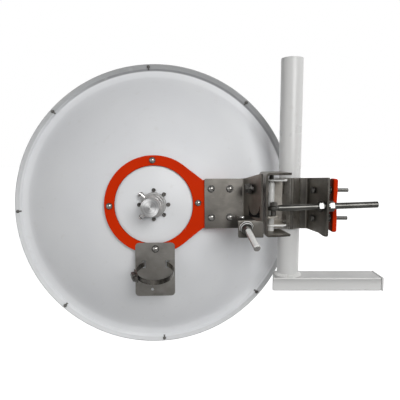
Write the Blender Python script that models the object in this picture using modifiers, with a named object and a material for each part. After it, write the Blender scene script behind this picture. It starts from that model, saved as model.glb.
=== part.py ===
"""Point-to-point microwave dish antenna on its pole mount, seen from behind at azimuth 0.

Metres, +Z up. The origin is the middle of the support arm's outer end face.
The arm runs along X to the pole. The dish's back faces -Y, and it aims along +Y.
"""

import math

import bmesh
import bpy
from mathutils import Matrix, Vector

GAP = 0.0003
ROUND = 24
FINE = 48

# Support arm and pole
ARM_LENGTH = 0.2455
ARM_DEPTH = 0.060
ARM_HEIGHT = 0.030
ARM_WALL = 0.003
ARM_PLATE = 0.004
POLE_X = -0.2093
POLE_RADIUS = 0.02415
POLE_WALL = 0.003
POLE_TOP = 0.4964
POLE_CAP = 0.002
WELD = 0.005

# Mast bracket, folded from plate round the front of the pole
PLATE = 0.004
V_HALF_WIDTH = 0.0194
V_RISE = 0.0114
V_NOSE_Y = -0.0307
WING_LEFT = -0.062
WING_RIGHT = 0.0385
MAST_Z = (0.1254, 0.2378)
SIDE_NEAR = (0.0545, -0.112)
SIDE_NEAR_Z = (0.1245, 0.2435)
LUG_Z = (0.1400, 0.2338)
LUG_RIGHT_X = -0.2295
LUG_NEAR_Y = -0.0815
LUG_ROUND = 0.0115

# Pole clamp: straps round the pole's far side, on studs welded to the bracket's wings
STRAP = 0.003
STRAP_WIDTH = 0.024
STRAP_Z = (0.1525, 0.2125)
STRAP_EAR = 0.0430
STRAP_EAR_Y = -0.0115
STRAP_STUD_X = 0.0357
STRAP_STUD_END = 0.0015
M8_RADIUS = 0.004
M8_FLATS = 0.013
M8_NUT = 0.0065

# Jaw bar held beside the mast bracket by two studs
JAW_X = (-0.1330, -0.1214)
JAW_Y = (-0.0680, -0.0420)
JAW_Z = (0.1268, 0.2380)
JAW_ROUND = 0.006
STUD_Y = -0.055
STUD_Z = (0.1540, 0.2137)
STUD_X = (-0.1750, -0.0970)
STUD_HEAD = 0.0055

# Azimuth head: a channel that turns about the upright pivot pin
AIM_AZIMUTH = math.radians(3.3)
PIN_X, PIN_Y = -0.262, -0.070
PIN_RADIUS = 0.0063
CHANNEL_Z = (0.1250, 0.2528)
CHANNEL_X = (-0.0215, 0.0320)
CHANNEL_WALL = 0.0045
CHANNEL_CORNER = 0.007
CHANNEL_NEAR_Y = -0.0495
CHANNEL_FAR_Y = 0.022

# Azimuth adjuster, a threaded rod with an eye
ROD_RADIUS = 0.006
ROD_Y = -0.100
ROD_LOW_Z = 0.1808
ROD_END = (-0.051, 0.1884)
EYE_RADIUS = 0.0115
EYE_HEIGHT = 0.008
SWIVEL_RADIUS = 0.005
SWIVEL_Z = (0.1603, 0.1933)
M12_FLATS = 0.019
M12_NUT = 0.010
INNER_NUT_X = -0.1617
WASHER_X = -0.1526
WASHER = 0.0025

# Elevation head: tilts about the bolt through the channel's web
AIM_TILT = math.radians(5.3)
PIVOT_Y, PIVOT_Z = -0.0114, 0.2195
PIVOT_RADIUS = 0.006

# Dish frame: x right, y up, z out of the dish's back, zero at the rim plane
DISH_AT = (-0.2453, 0.1807, -0.0329)
DISH_RADIUS = 0.336
DISH_DEPTH = 0.1394
DISH_SHEET = 0.0025
BOWL_RADIUS = 0.285
LEDGE = ((0.2900, 0.0199), (0.2950, 0.0158), (0.3000, 0.0122), (0.3035, 0.0102), (0.3062, 0.0092),
         (0.3095, 0.0085), (0.3140, 0.0080), (0.3185, 0.0078))
STEP = ((0.3196, 0.0081), (0.3215, 0.0098), (0.3228, 0.0102))
RIM_ROLL = 0.0027
RIM_Z = 0.0125
FOUR_FOCAL = 0.794
DEEPER = (0.110, 0.426)
LIP_DROP = 0.012
HUB_HOLE = 0.014
RADOME_SHEET = 0.003
RADOME_RISE = 0.024

RING_INNER, RING_OUTER = 0.0834, 0.1052
RING_Z = (0.1309, 0.1358)
RING_BOLTS = 0.0943
RING_BOLT_TURN = math.radians(1.7)
M6_FLATS = 0.010
M6_WASHER = 0.0062
TAB_X = (0.1045, 0.178)
TAB_Y = (-0.0510, 0.0522)

BRACKET_X = (0.108, 0.1927)
BRACKET_Y = (-0.0514, 0.0547)
BRACKET_Z = 0.1361
FLANGE_NEAR = (0.2165, 0.2168)
FLANGE_NEAR_Y = (-0.0645, 0.0616)
BRACKET_BOLT_X = (0.1225, 0.1620)
BRACKET_BOLT_Y = (-0.0280, 0.0330)

CLIP_X = 0.1715
CLIP_Y = (-0.0634, -0.0226)
CLIP_Z = (0.172, 0.2095)
CLIP_SHEET = 0.003
TILT_ROD_RADIUS = 0.005
TILT_ROD_THROUGH = (0.1885, -0.0389, 0.2196)
TILT_ROD_WAY = (0.051, -0.486, 0.872)
TILT_ROD_REACH = (-0.0165, 0.077)

HUB_STEPS = ((0.0265, 0.1393), (0.0265, 0.149), (0.0235, 0.151), (0.0235, 0.176),
             (0.0205, 0.178), (0.0205, 0.192), (0.0185, 0.194), (0.0185, 0.205))
HUB_BORE = 0.009

CABLE_PLATE_X = (-0.040, 0.044)
CABLE_PLATE_Y = (-0.1945, -0.0811)
CABLE_PLATE = 0.002
BAND_RADIUS = 0.039
BAND_SHEET = 0.001
BAND_WIDTH = 0.010
BAND_CHORD = 0.0245
BAND_AT = (0.003, -0.1270)
BAND_DROOP = math.radians(22)
SCREW_AT = math.radians(160)


def clear_scene():
    for old in list(bpy.data.objects):
        bpy.data.objects.remove(old, do_unlink=True)


def collection(name):
    made = bpy.data.collections.new(name)
    bpy.context.scene.collection.children.link(made)
    return made


def material(name, colour, roughness, metallic):
    made = bpy.data.materials.new(name)
    made.use_nodes = True
    shader = made.node_tree.nodes["Principled BSDF"]
    shader.inputs["Base Color"].default_value = (*colour, 1)
    shader.inputs["Roughness"].default_value = roughness
    shader.inputs["Metallic"].default_value = metallic
    return made


clear_scene()
PARTS = collection("microwave_dish_antenna")
CUTTERS = collection("cutters")
CUTTERS.hide_render = True

WHITE = material("white_paint", (0.78, 0.78, 0.77), 0.45, 0)
COVER = material("white_cover", (0.80, 0.80, 0.79), 0.5, 0)
ORANGE = material("orange_paint", (0.72, 0.09, 0.01), 0.45, 0)
STEEL = material("stainless_steel", (0.45, 0.43, 0.40), 0.35, 1)
BRIGHT = material("bright_steel", (0.70, 0.70, 0.70), 0.25, 1)
ALUMINIUM = material("machined_aluminium", (0.72, 0.72, 0.73), 0.3, 1)


def empty(name, parent, matrix):
    made = bpy.data.objects.new(name, None)
    PARTS.objects.link(made)
    made.parent = parent
    made.matrix_local = matrix
    return made


AZIMUTH = empty("azimuth_axis", None,
                Matrix.Translation((PIN_X, PIN_Y, 0)) @ Matrix.Rotation(AIM_AZIMUTH, 4, "Z"))
ELEVATION = empty("elevation_axis", AZIMUTH,
                  Matrix.Translation((0, PIVOT_Y, PIVOT_Z)) @ Matrix.Rotation(-AIM_TILT, 4, "X"))
DISH = empty("dish_frame", ELEVATION,
             Matrix.Translation(DISH_AT) @ Matrix.Rotation(math.radians(90), 4, "X"))


def placed(name, mesh, finish, parent=None, matrix=None, smooth=False):
    """A part when it has a finish, else a helper that only cuts or joins."""
    made = bpy.data.objects.new(name, mesh)
    if finish is None:
        CUTTERS.objects.link(made)
        made.hide_render = True
        made.display_type = "WIRE"
    else:
        PARTS.objects.link(made)
        mesh.materials.append(finish)
    if smooth:
        mesh.shade_smooth()
        mesh.set_sharp_from_angle(angle=math.radians(35))
    made.parent = parent
    made.matrix_local = matrix or Matrix.Identity(4)
    return made


def aimed(at, way):
    """A matrix whose Z runs along way, from at."""
    turn = Vector(way).to_track_quat("Z", "Y").to_matrix().to_4x4()
    return Matrix.Translation(at) @ turn


def boolean(target, other, operation):
    change = target.modifiers.new(other.name, "BOOLEAN")
    change.operation = operation
    change.solver = "EXACT"
    change.object = other


def cut(target, *others):
    for other in others:
        boolean(target, other, "DIFFERENCE")


def join(target, *others):
    for other in others:
        boolean(target, other, "UNION")


def box(name, low, high, finish=None, parent=None):
    low, high = Vector(low), Vector(high)
    shape = bmesh.new()
    bmesh.ops.create_cube(shape, size=1)
    bmesh.ops.scale(shape, vec=high - low, verts=shape.verts)
    bmesh.ops.translate(shape, vec=(low + high) / 2, verts=shape.verts)
    mesh = bpy.data.meshes.new(name)
    shape.to_mesh(mesh)
    shape.free()
    return placed(name, mesh, finish, parent)


def rod(name, radius, start, end, finish=None, parent=None, sides=ROUND):
    start, end = Vector(start), Vector(end)
    shape = bmesh.new()
    bmesh.ops.create_cone(shape, cap_ends=True, segments=sides, radius1=radius, radius2=radius,
                          depth=(end - start).length)
    mesh = bpy.data.meshes.new(name)
    shape.to_mesh(mesh)
    shape.free()
    return placed(name, mesh, finish, parent, aimed((start + end) / 2, end - start), sides > 6)


def hexagon(name, flats, start, end, finish=None, parent=None):
    return rod(name, flats / 2 / math.cos(math.pi / 6), start, end, finish, parent, sides=6)


def turned(name, profile, finish=None, parent=None, steps=FINE):
    """A closed profile of (radius, height) turned about the frame's Z."""
    area = sum(a[0] * b[1] - b[0] * a[1] for a, b in zip(profile, profile[1:] + profile[:1]))
    if area > 0:
        profile = profile[::-1]
    shape = bmesh.new()
    points = [shape.verts.new((radius, 0, height)) for radius, height in profile]
    for a, b in zip(points, points[1:] + points[:1]):
        shape.edges.new((a, b))
    mesh = bpy.data.meshes.new(name)
    shape.to_mesh(mesh)
    shape.free()
    made = placed(name, mesh, finish, parent)
    screw = made.modifiers.new("turn", "SCREW")
    screw.steps = screw.render_steps = steps
    screw.use_merge_vertices = True
    screw.merge_threshold = 0.00001
    screw.use_smooth_shade = True
    return made


def rounded(corners, radius, steps=4):
    """The outline with each corner replaced by an arc."""
    points = []
    for i, corner in enumerate(corners):
        here = Vector(corner)
        back = (Vector(corners[i - 1]) - here).normalized()
        on = (Vector(corners[(i + 1) % len(corners)]) - here).normalized()
        half = back.angle(on) / 2
        reach = radius / math.tan(half)
        middle = here + (back + on).normalized() * radius / math.sin(half)
        first = here + back * reach - middle
        turn = (here + on * reach - middle).angle_signed(first)
        for step in range(steps + 1):
            points.append(middle + Matrix.Rotation(turn * step / steps, 2) @ first)
    return [(point.x, point.y) for point in points]


def flat(name, outline, low, high, finish=None, parent=None, matrix=None):
    """A flat outline in the frame's XY, thick from low to high, as a mesh that can be cut."""
    curve = bpy.data.curves.new(name, "CURVE")
    curve.dimensions = "2D"
    curve.fill_mode = "BOTH"
    curve.extrude = (high - low) / 2
    spline = curve.splines.new("POLY")
    spline.points.add(len(outline) - 1)
    for point, (x, y) in zip(spline.points, outline):
        point.co = (x, y, 0, 1)
    spline.use_cyclic_u = True
    guide = bpy.data.objects.new(name + "_outline", curve)
    CUTTERS.objects.link(guide)
    bpy.context.view_layer.update()
    mesh = bpy.data.meshes.new_from_object(guide.evaluated_get(bpy.context.evaluated_depsgraph_get()))
    bpy.data.objects.remove(guide)
    shape = bmesh.new()
    shape.from_mesh(mesh)
    bmesh.ops.remove_doubles(shape, verts=shape.verts, dist=0.000001)
    bmesh.ops.recalc_face_normals(shape, faces=shape.faces)
    bmesh.ops.translate(shape, vec=(0, 0, (low + high) / 2), verts=shape.verts)
    shape.to_mesh(mesh)
    shape.free()
    mesh.materials.clear()
    return placed(name, mesh, finish, parent, matrix)


def folded(middle, thickness):
    """The outline of a sheet bent along the middle line."""
    half = thickness / 2
    sides = ([], [])
    for i, point in enumerate(middle):
        here = Vector(point)
        before = (here - Vector(middle[i - 1])).normalized() if i else None
        after = (Vector(middle[i + 1]) - here).normalized() if i + 1 < len(middle) else None
        ways = [way for way in (before, after) if way]
        normal = sum((Vector((-way.y, way.x)) for way in ways), Vector((0, 0))).normalized()
        reach = half / normal.dot(Vector((-ways[0].y, ways[0].x)))
        sides[0].append(tuple(here + normal * reach))
        sides[1].append(tuple(here - normal * reach))
    return sides[0] + sides[1][::-1]


def tapered(name, start, end, thickness, start_span, end_span, finish=None, parent=None, matrix=None):
    """An upright plate between two plan points, whose height span changes on the way."""
    start, end = Vector(start), Vector(end)
    side = (end - start).normalized().orthogonal() * thickness / 2
    shape = bmesh.new()
    bmesh.ops.create_cube(shape, size=2)
    for vert in shape.verts:
        place, span = (end, end_span) if vert.co.x > 0 else (start, start_span)
        plan = place + side * vert.co.y
        vert.co = (plan.x, plan.y, span[1] if vert.co.z > 0 else span[0])
    bmesh.ops.recalc_face_normals(shape, faces=shape.faces)
    mesh = bpy.data.meshes.new(name)
    shape.to_mesh(mesh)
    shape.free()
    return placed(name, mesh, finish, parent, matrix)


def rectangle(xs, ys):
    return [(xs[0], ys[0]), (xs[1], ys[0]), (xs[1], ys[1]), (xs[0], ys[1])]


def support_arm():
    half_depth, half_height = ARM_DEPTH / 2, ARM_HEIGHT / 2
    left, right = -ARM_LENGTH, -ARM_PLATE
    arm = box("support_arm", (left, -half_depth, -half_height),
              (right - GAP, half_depth, half_height), WHITE)
    cut(arm, box("arm_bore", (left + ARM_WALL, -half_depth + ARM_WALL, -half_height + ARM_WALL),
                 (0.01, half_depth - ARM_WALL, half_height - ARM_WALL)))
    box("arm_end_plate", (right, -half_depth, -half_height), (0, half_depth, half_height), WHITE)


def pole():
    foot = empty("pole_axis", None, Matrix.Translation((POLE_X, 0, 0)))
    low, bore = ARM_HEIGHT / 2 + GAP, POLE_RADIUS - POLE_WALL
    turned("pole", [(bore, low), (POLE_RADIUS, low), (POLE_RADIUS, POLE_TOP - 0.001),
                    (POLE_RADIUS - 0.001, POLE_TOP), (0.004, POLE_TOP), (0.004, POLE_TOP - POLE_CAP),
                    (bore, POLE_TOP - POLE_CAP)], WHITE, foot, ROUND * 2)
    inner = POLE_RADIUS + GAP
    turned("pole_weld", [(inner, low), (inner + WELD, low), (inner + WELD * 0.7, low + WELD * 0.6),
                         (inner, low + WELD)], WHITE, foot, ROUND * 2)


def mast_bracket():
    wing_y = V_NOSE_Y + V_RISE
    middle = [(WING_LEFT, wing_y), (-V_HALF_WIDTH, wing_y), (0, V_NOSE_Y), (V_HALF_WIDTH, wing_y),
              (WING_RIGHT, wing_y)]
    bracket = flat("mast_bracket", [(POLE_X + x, y) for x, y in folded(middle, PLATE)],
                   *MAST_Z, STEEL)
    side = tapered("mast_bracket_side", (POLE_X + WING_RIGHT - PLATE / 2, wing_y + PLATE / 2 - 0.0005),
                   (POLE_X + SIDE_NEAR[0], SIDE_NEAR[1]), PLATE, MAST_Z, SIDE_NEAR_Z)
    join(bracket, side)
    for i, z in enumerate(STUD_Z):
        cut(bracket, rod(f"stud_hole_{i}", M8_RADIUS + GAP, (-0.18, STUD_Y, z), (-0.15, STUD_Y, z)))
    cut(bracket, rod("rod_hole", ROD_RADIUS + 2 * GAP, rod_point(-0.17), rod_point(-0.14)))
    return wing_y


def pivot_lugs(wing_y):
    back_y = wing_y - PLATE / 2 - GAP
    left = PIN_X - LUG_ROUND
    corner = [(PIN_X + LUG_ROUND * math.cos(a), PIN_Y + LUG_ROUND * math.sin(a))
              for a in (math.pi + i * math.pi / 12 for i in range(7))]
    outline = [(left, back_y)] + corner + [(LUG_RIGHT_X - 0.010, LUG_NEAR_Y),
                                           (LUG_RIGHT_X, LUG_NEAR_Y + 0.010), (LUG_RIGHT_X, back_y)]
    for name, low in zip(("lower_lug", "upper_lug"), LUG_Z):
        lug = flat(name, outline, low, low + PLATE, STEEL)
        cut(lug, rod(name + "_bore", PIN_RADIUS + GAP, (PIN_X, PIN_Y, low - 0.01),
                     (PIN_X, PIN_Y, low + 0.02)))
    rod("pivot_pin", PIN_RADIUS, (PIN_X, PIN_Y, CHANNEL_Z[0] + 0.0005),
        (PIN_X, PIN_Y, CHANNEL_Z[1] - 0.0005), BRIGHT)


def nut(name, flats, start, end, bore, finish=STEEL, parent=None):
    """A hexagon from start to end with a bore along it."""
    made = hexagon(name, flats, start, end, finish, parent)
    spare = (Vector(end) - Vector(start)).normalized() * 0.003
    cut(made, rod(name + "_bore", bore, Vector(start) - spare, Vector(end) + spare, None, parent))
    return made


def pole_clamp(wing_y):
    reach = POLE_RADIUS + GAP + STRAP / 2
    arc = [(reach * math.cos(math.pi * i / 12), reach * math.sin(math.pi * i / 12)) for i in range(13)]
    middle = [(STRAP_EAR, STRAP_EAR_Y), (reach, STRAP_EAR_Y)] + arc + \
        [(-reach, STRAP_EAR_Y), (-STRAP_EAR, STRAP_EAR_Y)]
    outline = [(POLE_X + x, y) for x, y in folded(middle, STRAP)]
    base, seat = wing_y + PLATE / 2 + GAP, STRAP_EAR_Y + STRAP / 2 + GAP
    for name, z in zip(("lower", "upper"), STRAP_Z):
        strap = flat(f"{name}_strap", outline, z - STRAP_WIDTH / 2, z + STRAP_WIDTH / 2, STEEL)
        for side, x in (("left", POLE_X - STRAP_STUD_X), ("right", POLE_X + STRAP_STUD_X)):
            cut(strap, rod(f"{name}_{side}_ear_hole", M8_RADIUS + GAP, (x, base, z), (x, seat + 0.01, z)))
            stud = rod(f"{name}_{side}_strap_stud", M8_RADIUS, (x, base, z), (x, STRAP_STUD_END, z), BRIGHT)
            join(stud, hexagon(f"{name}_{side}_strap_nut", M8_FLATS, (x, seat, z), (x, seat + M8_NUT, z)))


def jaw_bar():
    """Orange bar, its outline in YZ and its thickness along X."""
    upright = Matrix(((0, 0, 1, 0), (1, 0, 0, 0), (0, 1, 0, 0), (0, 0, 0, 1)))
    bar = flat("jaw_bar", rounded(rectangle(JAW_Y, JAW_Z), JAW_ROUND), *JAW_X, ORANGE,
               matrix=upright)
    inner = JAW_X[0] - GAP
    for name, z in zip(("lower", "upper"), STUD_Z):
        cut(bar, rod(f"{name}_jaw_hole", M8_RADIUS + GAP, (JAW_X[0] - 0.01, STUD_Y, z),
                     (JAW_X[1] + 0.01, STUD_Y, z)))
        stud = rod(f"{name}_jaw_stud", M8_RADIUS, (STUD_X[0] + 0.001, STUD_Y, z),
                   (STUD_X[1], STUD_Y, z), STEEL)
        join(stud, hexagon(f"{name}_jaw_stud_head", M8_FLATS, (STUD_X[0], STUD_Y, z),
                           (STUD_X[0] + STUD_HEAD, STUD_Y, z)),
             hexagon(f"{name}_jaw_nut", M8_FLATS, (inner - M8_NUT, STUD_Y, z), (inner, STUD_Y, z)))


def rod_point(x):
    """A point on the azimuth rod's axis, which climbs a little on its way to its free end."""
    share = (x - PIN_X) / (ROD_END[0] - PIN_X)
    return Vector((x, ROD_Y, ROD_LOW_Z + share * (ROD_END[1] - ROD_LOW_Z)))


def azimuth_rod():
    eye = rod_point(PIN_X)
    made = rod("azimuth_rod", ROD_RADIUS, rod_point(PIN_X + EYE_RADIUS - 0.003), rod_point(ROD_END[0]),
               STEEL)
    up = Vector((0, 0, EYE_HEIGHT / 2))
    join(made, rod("azimuth_rod_eye", EYE_RADIUS, eye - up, eye + up))
    cut(made, rod("azimuth_rod_bore", SWIVEL_RADIUS + GAP, eye - 3 * up, eye + 3 * up))
    nut("inner_azimuth_nut", M12_FLATS, rod_point(INNER_NUT_X - M12_NUT), rod_point(INNER_NUT_X),
        ROD_RADIUS + GAP, BRIGHT)
    washer = WASHER_X + WASHER
    outer = nut("outer_azimuth_nut", M12_FLATS, rod_point(washer - 0.0005), rod_point(washer + M12_NUT),
                ROD_RADIUS + GAP, BRIGHT)
    join(outer, rod("azimuth_washer", 0.012, rod_point(WASHER_X), rod_point(washer)))
    cut(outer, rod("azimuth_washer_bore", ROD_RADIUS + GAP, rod_point(WASHER_X - 0.01),
                   rod_point(WASHER_X + 0.03)))


def swivel_local():
    bpy.context.view_layer.update()
    return AZIMUTH.matrix_world.inverted() @ Vector((PIN_X, ROD_Y, 0))


def azimuth_channel():
    profile = folded([(CHANNEL_X[1], CHANNEL_Z[0] + CHANNEL_WALL / 2),
                      (CHANNEL_X[0] + CHANNEL_WALL / 2, CHANNEL_Z[0] + CHANNEL_WALL / 2),
                      (CHANNEL_X[0] + CHANNEL_WALL / 2, CHANNEL_Z[1] - CHANNEL_WALL / 2),
                      (CHANNEL_X[1], CHANNEL_Z[1] - CHANNEL_WALL / 2)], CHANNEL_WALL)
    lying = Matrix.Rotation(math.radians(90), 4, "X")
    channel = flat("azimuth_channel", profile, -CHANNEL_FAR_Y, -CHANNEL_NEAR_Y, STEEL, AZIMUTH, lying)
    outer = rounded(rectangle((CHANNEL_X[0], 0.2), CHANNEL_Z), CHANNEL_CORNER)
    boolean(channel, flat("channel_corners", outer, -0.1, 0.1, None, AZIMUTH, lying), "INTERSECT")
    plan = [(-0.03, -0.06), (0.0, CHANNEL_NEAR_Y - 0.001), (0.032, -0.042), (0.025, 0.0186),
            (0.018, 0.03), (-0.03, 0.03)]
    boolean(channel, flat("channel_plan", plan, 0.1, 0.3, None, AZIMUTH), "INTERSECT")
    cut(channel, rod("channel_pin_bore", PIN_RADIUS + GAP, (0, 0, 0.1), (0, 0, 0.3), None, AZIMUTH),
        rod("channel_pivot_bore", PIVOT_RADIUS + GAP, (-0.04, PIVOT_Y, PIVOT_Z),
            (-0.01, PIVOT_Y, PIVOT_Z), None, AZIMUTH))


def rod_swivel():
    at = swivel_local()
    low, high = SWIVEL_Z
    swivel = rod("rod_swivel", SWIVEL_RADIUS, (at.x, at.y, low), (at.x, at.y, high), BRIGHT, AZIMUTH)
    top = ROD_LOW_Z + EYE_HEIGHT / 2 + GAP
    join(swivel, hexagon("rod_swivel_nut", 0.014, (at.x, at.y, top), (at.x, at.y, high - 0.0005),
                         None, AZIMUTH))
    web = CHANNEL_X[0] + CHANNEL_WALL + GAP
    ear = box("swivel_ear", (web, at.y - 0.010, low + 0.0005), (at.x + 0.010, at.y + 0.010, low + 0.0045),
              STEEL, AZIMUTH)
    cut(ear, rod("swivel_ear_bore", SWIVEL_RADIUS + GAP, (at.x, at.y, low - 0.01),
                 (at.x, at.y, low + 0.02), None, AZIMUTH))


def elevation_pivot():
    at = (PIVOT_Y, PIVOT_Z)
    bolt = rod("elevation_bolt", PIVOT_RADIUS, (-0.0555, *at), (-0.0085, *at), STEEL, AZIMUTH)
    join(bolt, hexagon("elevation_bolt_head", M12_FLATS, (-0.0560, *at), (-0.0477, *at), None, AZIMUTH),
         rod("elevation_bolt_washer", 0.011, (-0.0478, *at), (-0.0453, *at), None, AZIMUTH))
    nut("elevation_nut", M12_FLATS, (-0.0167, *at), (-0.0092, *at), PIVOT_RADIUS + GAP, STEEL, AZIMUTH)
    bush = rod("elevation_bush", 0.009, (-0.0342, *at), (CHANNEL_X[0] - GAP, *at), BRIGHT, AZIMUTH)
    cut(bush, rod("elevation_bush_bore", PIVOT_RADIUS + GAP, (-0.04, *at), (-0.01, *at), None, AZIMUTH))


def bowl_height(radius):
    """A parabola that steepens a little outside the ring."""
    start, more = DEEPER
    return DISH_DEPTH - radius**2 / FOUR_FOCAL - more * max(0, radius - start)**2


def reflector():
    """The bowl, a ledge, a small step up to the flange, and the wall that turns forward round the cover."""
    rings = [HUB_HOLE + (BOWL_RADIUS - HUB_HOLE) * i / 12 for i in range(13)]
    back = [(radius, bowl_height(radius)) for radius in rings] + list(LEDGE) + list(STEP)
    corner = [(DISH_RADIUS - RIM_ROLL * (1 - math.sin(a)), RIM_Z - RIM_ROLL * (1 - math.cos(a)))
              for a in (math.pi / 2 * i / 4 for i in range(5))]
    inner_wall = DISH_RADIUS - DISH_SHEET
    wall = [(DISH_RADIUS, -LIP_DROP), (inner_wall, -LIP_DROP), (inner_wall, RIM_Z - DISH_SHEET)]
    inset = DISH_SHEET / 2 / BOWL_RADIUS
    front = [(radius * (1 - inset), height - DISH_SHEET) for radius, height in back]
    front[0] = (HUB_HOLE, front[0][1])
    turned("reflector", back + corner + wall + front[::-1], WHITE, DISH)


def radome():
    edge = DISH_RADIUS - DISH_SHEET - 0.0006
    steps = [edge * i / 6 for i in range(1, 7)]
    outer = [(r, -LIP_DROP - RADOME_RISE * (1 - (r / edge) ** 2)) for r in steps]
    start = (0.004, outer[0][1] - 0.0005)
    inner = [(r, z + RADOME_SHEET) for r, z in [start] + outer]
    turned("radome", [start] + outer + inner[::-1], COVER, DISH)


def mounting_ring():
    low, high = RING_Z
    drop = bowl_height(RING_INNER) - bowl_height(RING_OUTER)
    ring = turned("mounting_ring", [(RING_INNER, low), (RING_OUTER, low - drop + 0.0008),
                                    (RING_OUTER, high), (RING_INNER, high)], ORANGE, DISH)
    shoulder = RING_OUTER * math.cos(math.radians(55))
    side = RING_OUTER * math.sin(math.radians(55)) - 0.0001
    tab = [(shoulder, side), (TAB_X[0], TAB_Y[1]), (TAB_X[1], TAB_Y[1]), (TAB_X[1], TAB_Y[0]),
           (TAB_X[0], TAB_Y[0]), (shoulder, -side), (0.088, 0)]
    join(ring, flat("mounting_ring_tab", tab, low + 0.0001, high, None, DISH))
    places = [(RING_BOLTS * math.cos(a), RING_BOLTS * math.sin(a))
              for a in (math.pi / 2 * i + RING_BOLT_TURN for i in (1, 2, 0))]
    places += [(x, y) for x in BRACKET_BOLT_X for y in BRACKET_BOLT_Y]
    for i, (x, y) in enumerate(places):
        seat = high if i < 3 else BRACKET_Z + PLATE
        name = f"ring_bolt_{i + 1}" if i < 3 else f"bracket_bolt_{i - 2}"
        bolt = hexagon(name, M6_FLATS, (x, y, seat + GAP), (x, y, seat + 0.0055), BRIGHT, DISH)
        join(bolt, rod(name + "_washer", M6_WASHER, (x, y, seat + GAP), (x, y, seat + 0.0015), None, DISH))


def reflector_bracket():
    lower = Matrix.Rotation(math.radians(90), 4, "X")
    bracket = flat("reflector_bracket", rectangle(BRACKET_X, BRACKET_Y), BRACKET_Z,
                   BRACKET_Z + PLATE, STEEL, DISH)
    start = (BRACKET_X[1] - 0.0005, BRACKET_Z)
    flange = tapered("reflector_bracket_flange", (start[0], -start[1]), (FLANGE_NEAR[0], -FLANGE_NEAR[1]),
                     PLATE, BRACKET_Y, FLANGE_NEAR_Y, None, DISH,
                     Matrix(((1, 0, 0, 0), (0, 0, 1, 0), (0, -1, 0, 0), (0, 0, 0, 1))))
    join(bracket, flange)
    bpy.context.view_layer.update()
    bore = rod("flange_bore", PIVOT_RADIUS + 2 * GAP, (-0.08, PIVOT_Y, PIVOT_Z),
               (-0.02, PIVOT_Y, PIVOT_Z), None, AZIMUTH)
    cut(bracket, bore)
    side = Matrix(((0, 0, 1, 0), (0, 1, 0, 0), (-1, 0, 0, 0), (0, 0, 0, 1)))
    for i, (z, lean) in enumerate(((0.1665, 0.0045), (0.188, -0.0045))):
        notch = [(-z - 0.006, -0.0215), (-z - lean, 0.004), (-z + 0.006, -0.0215)]
        cut(bracket, flat(f"flange_notch_{i}", notch, 0.19, 0.24, None, DISH, side))
    return lower


def flange_face(z, side=-1):
    """The x of the flange's face at a height over the rim plane."""
    share = (z - BRACKET_Z) / (FLANGE_NEAR[1] - BRACKET_Z)
    return BRACKET_X[1] + (FLANGE_NEAR[0] - BRACKET_X[1]) * share + side * 0.0024


def elevation_clip():
    low, high = CLIP_Y
    back, front = CLIP_Z
    along, through = Vector(TILT_ROD_WAY).normalized(), Vector(TILT_ROD_THROUGH)
    half = CLIP_SHEET / 2
    side = Matrix(((0, 0, 1, 0), (0, 1, 0, 0), (-1, 0, 0, 0), (0, 0, 0, 1)))
    section = folded([(half - front, low), (half - front, high - half), (-back, high - half)], CLIP_SHEET)
    clip = flat("elevation_clip", section, CLIP_X, FLANGE_NEAR[0] + 0.02, STEEL, DISH, side)
    lying = Matrix(((1, 0, 0, 0), (0, 0, 1, 0), (0, -1, 0, 0), (0, 0, 0, 1)))
    plan = [(0.1, 0.01 - back), (flange_face(back - 0.01), 0.01 - back),
            (flange_face(front + 0.01), -0.01 - front), (0.1, -0.01 - front)]
    boolean(clip, flat("elevation_clip_plan", plan, -0.1, 0, None, DISH, lying), "INTERSECT")
    cut(clip, rod("elevation_clip_bore", TILT_ROD_RADIUS + GAP, through - along * 0.0185,
                  through + along * 0.02, None, DISH))
    rod("elevation_rod", TILT_ROD_RADIUS, through + along * TILT_ROD_REACH[0],
        through + along * TILT_ROD_REACH[1], BRIGHT, DISH)
    seat = through + along * -0.0045
    face = seat + along * 0.0025
    fastener = nut("elevation_rod_nut", 0.017, face - along * 0.0005, face + along * 0.008,
                   TILT_ROD_RADIUS + GAP, STEEL, DISH)
    join(fastener, rod("elevation_washer", 0.0105, seat, face, None, DISH))
    cut(fastener, rod("elevation_washer_bore", TILT_ROD_RADIUS + GAP, seat - along * 0.01,
                      face + along * 0.02, None, DISH))


def hub():
    inner = [(HUB_BORE, HUB_STEPS[-1][1] - 0.004), (HUB_BORE, HUB_STEPS[0][1])]
    top = HUB_STEPS[-1][1]
    face = [(0.0125, top), (0.0125, top - 0.004)]
    turned("feed_hub", list(HUB_STEPS) + face + inner, ALUMINIUM, DISH, 40)


def band_points(inset):
    """The band's loop in its own plane: x across, y out from the plate."""
    radius, leg = BAND_RADIUS - inset, BAND_CHORD - inset
    centre = math.sqrt(BAND_RADIUS**2 - BAND_CHORD**2)
    start = -math.acos(leg / radius)
    sweep = math.pi - 2 * start
    arc = [(radius * math.cos(start + sweep * i / 28), centre + radius * math.sin(start + sweep * i / 28))
           for i in range(29)]
    return arc + [(-leg, -0.0055 + inset), (leg, -0.0055 + inset)]


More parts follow.
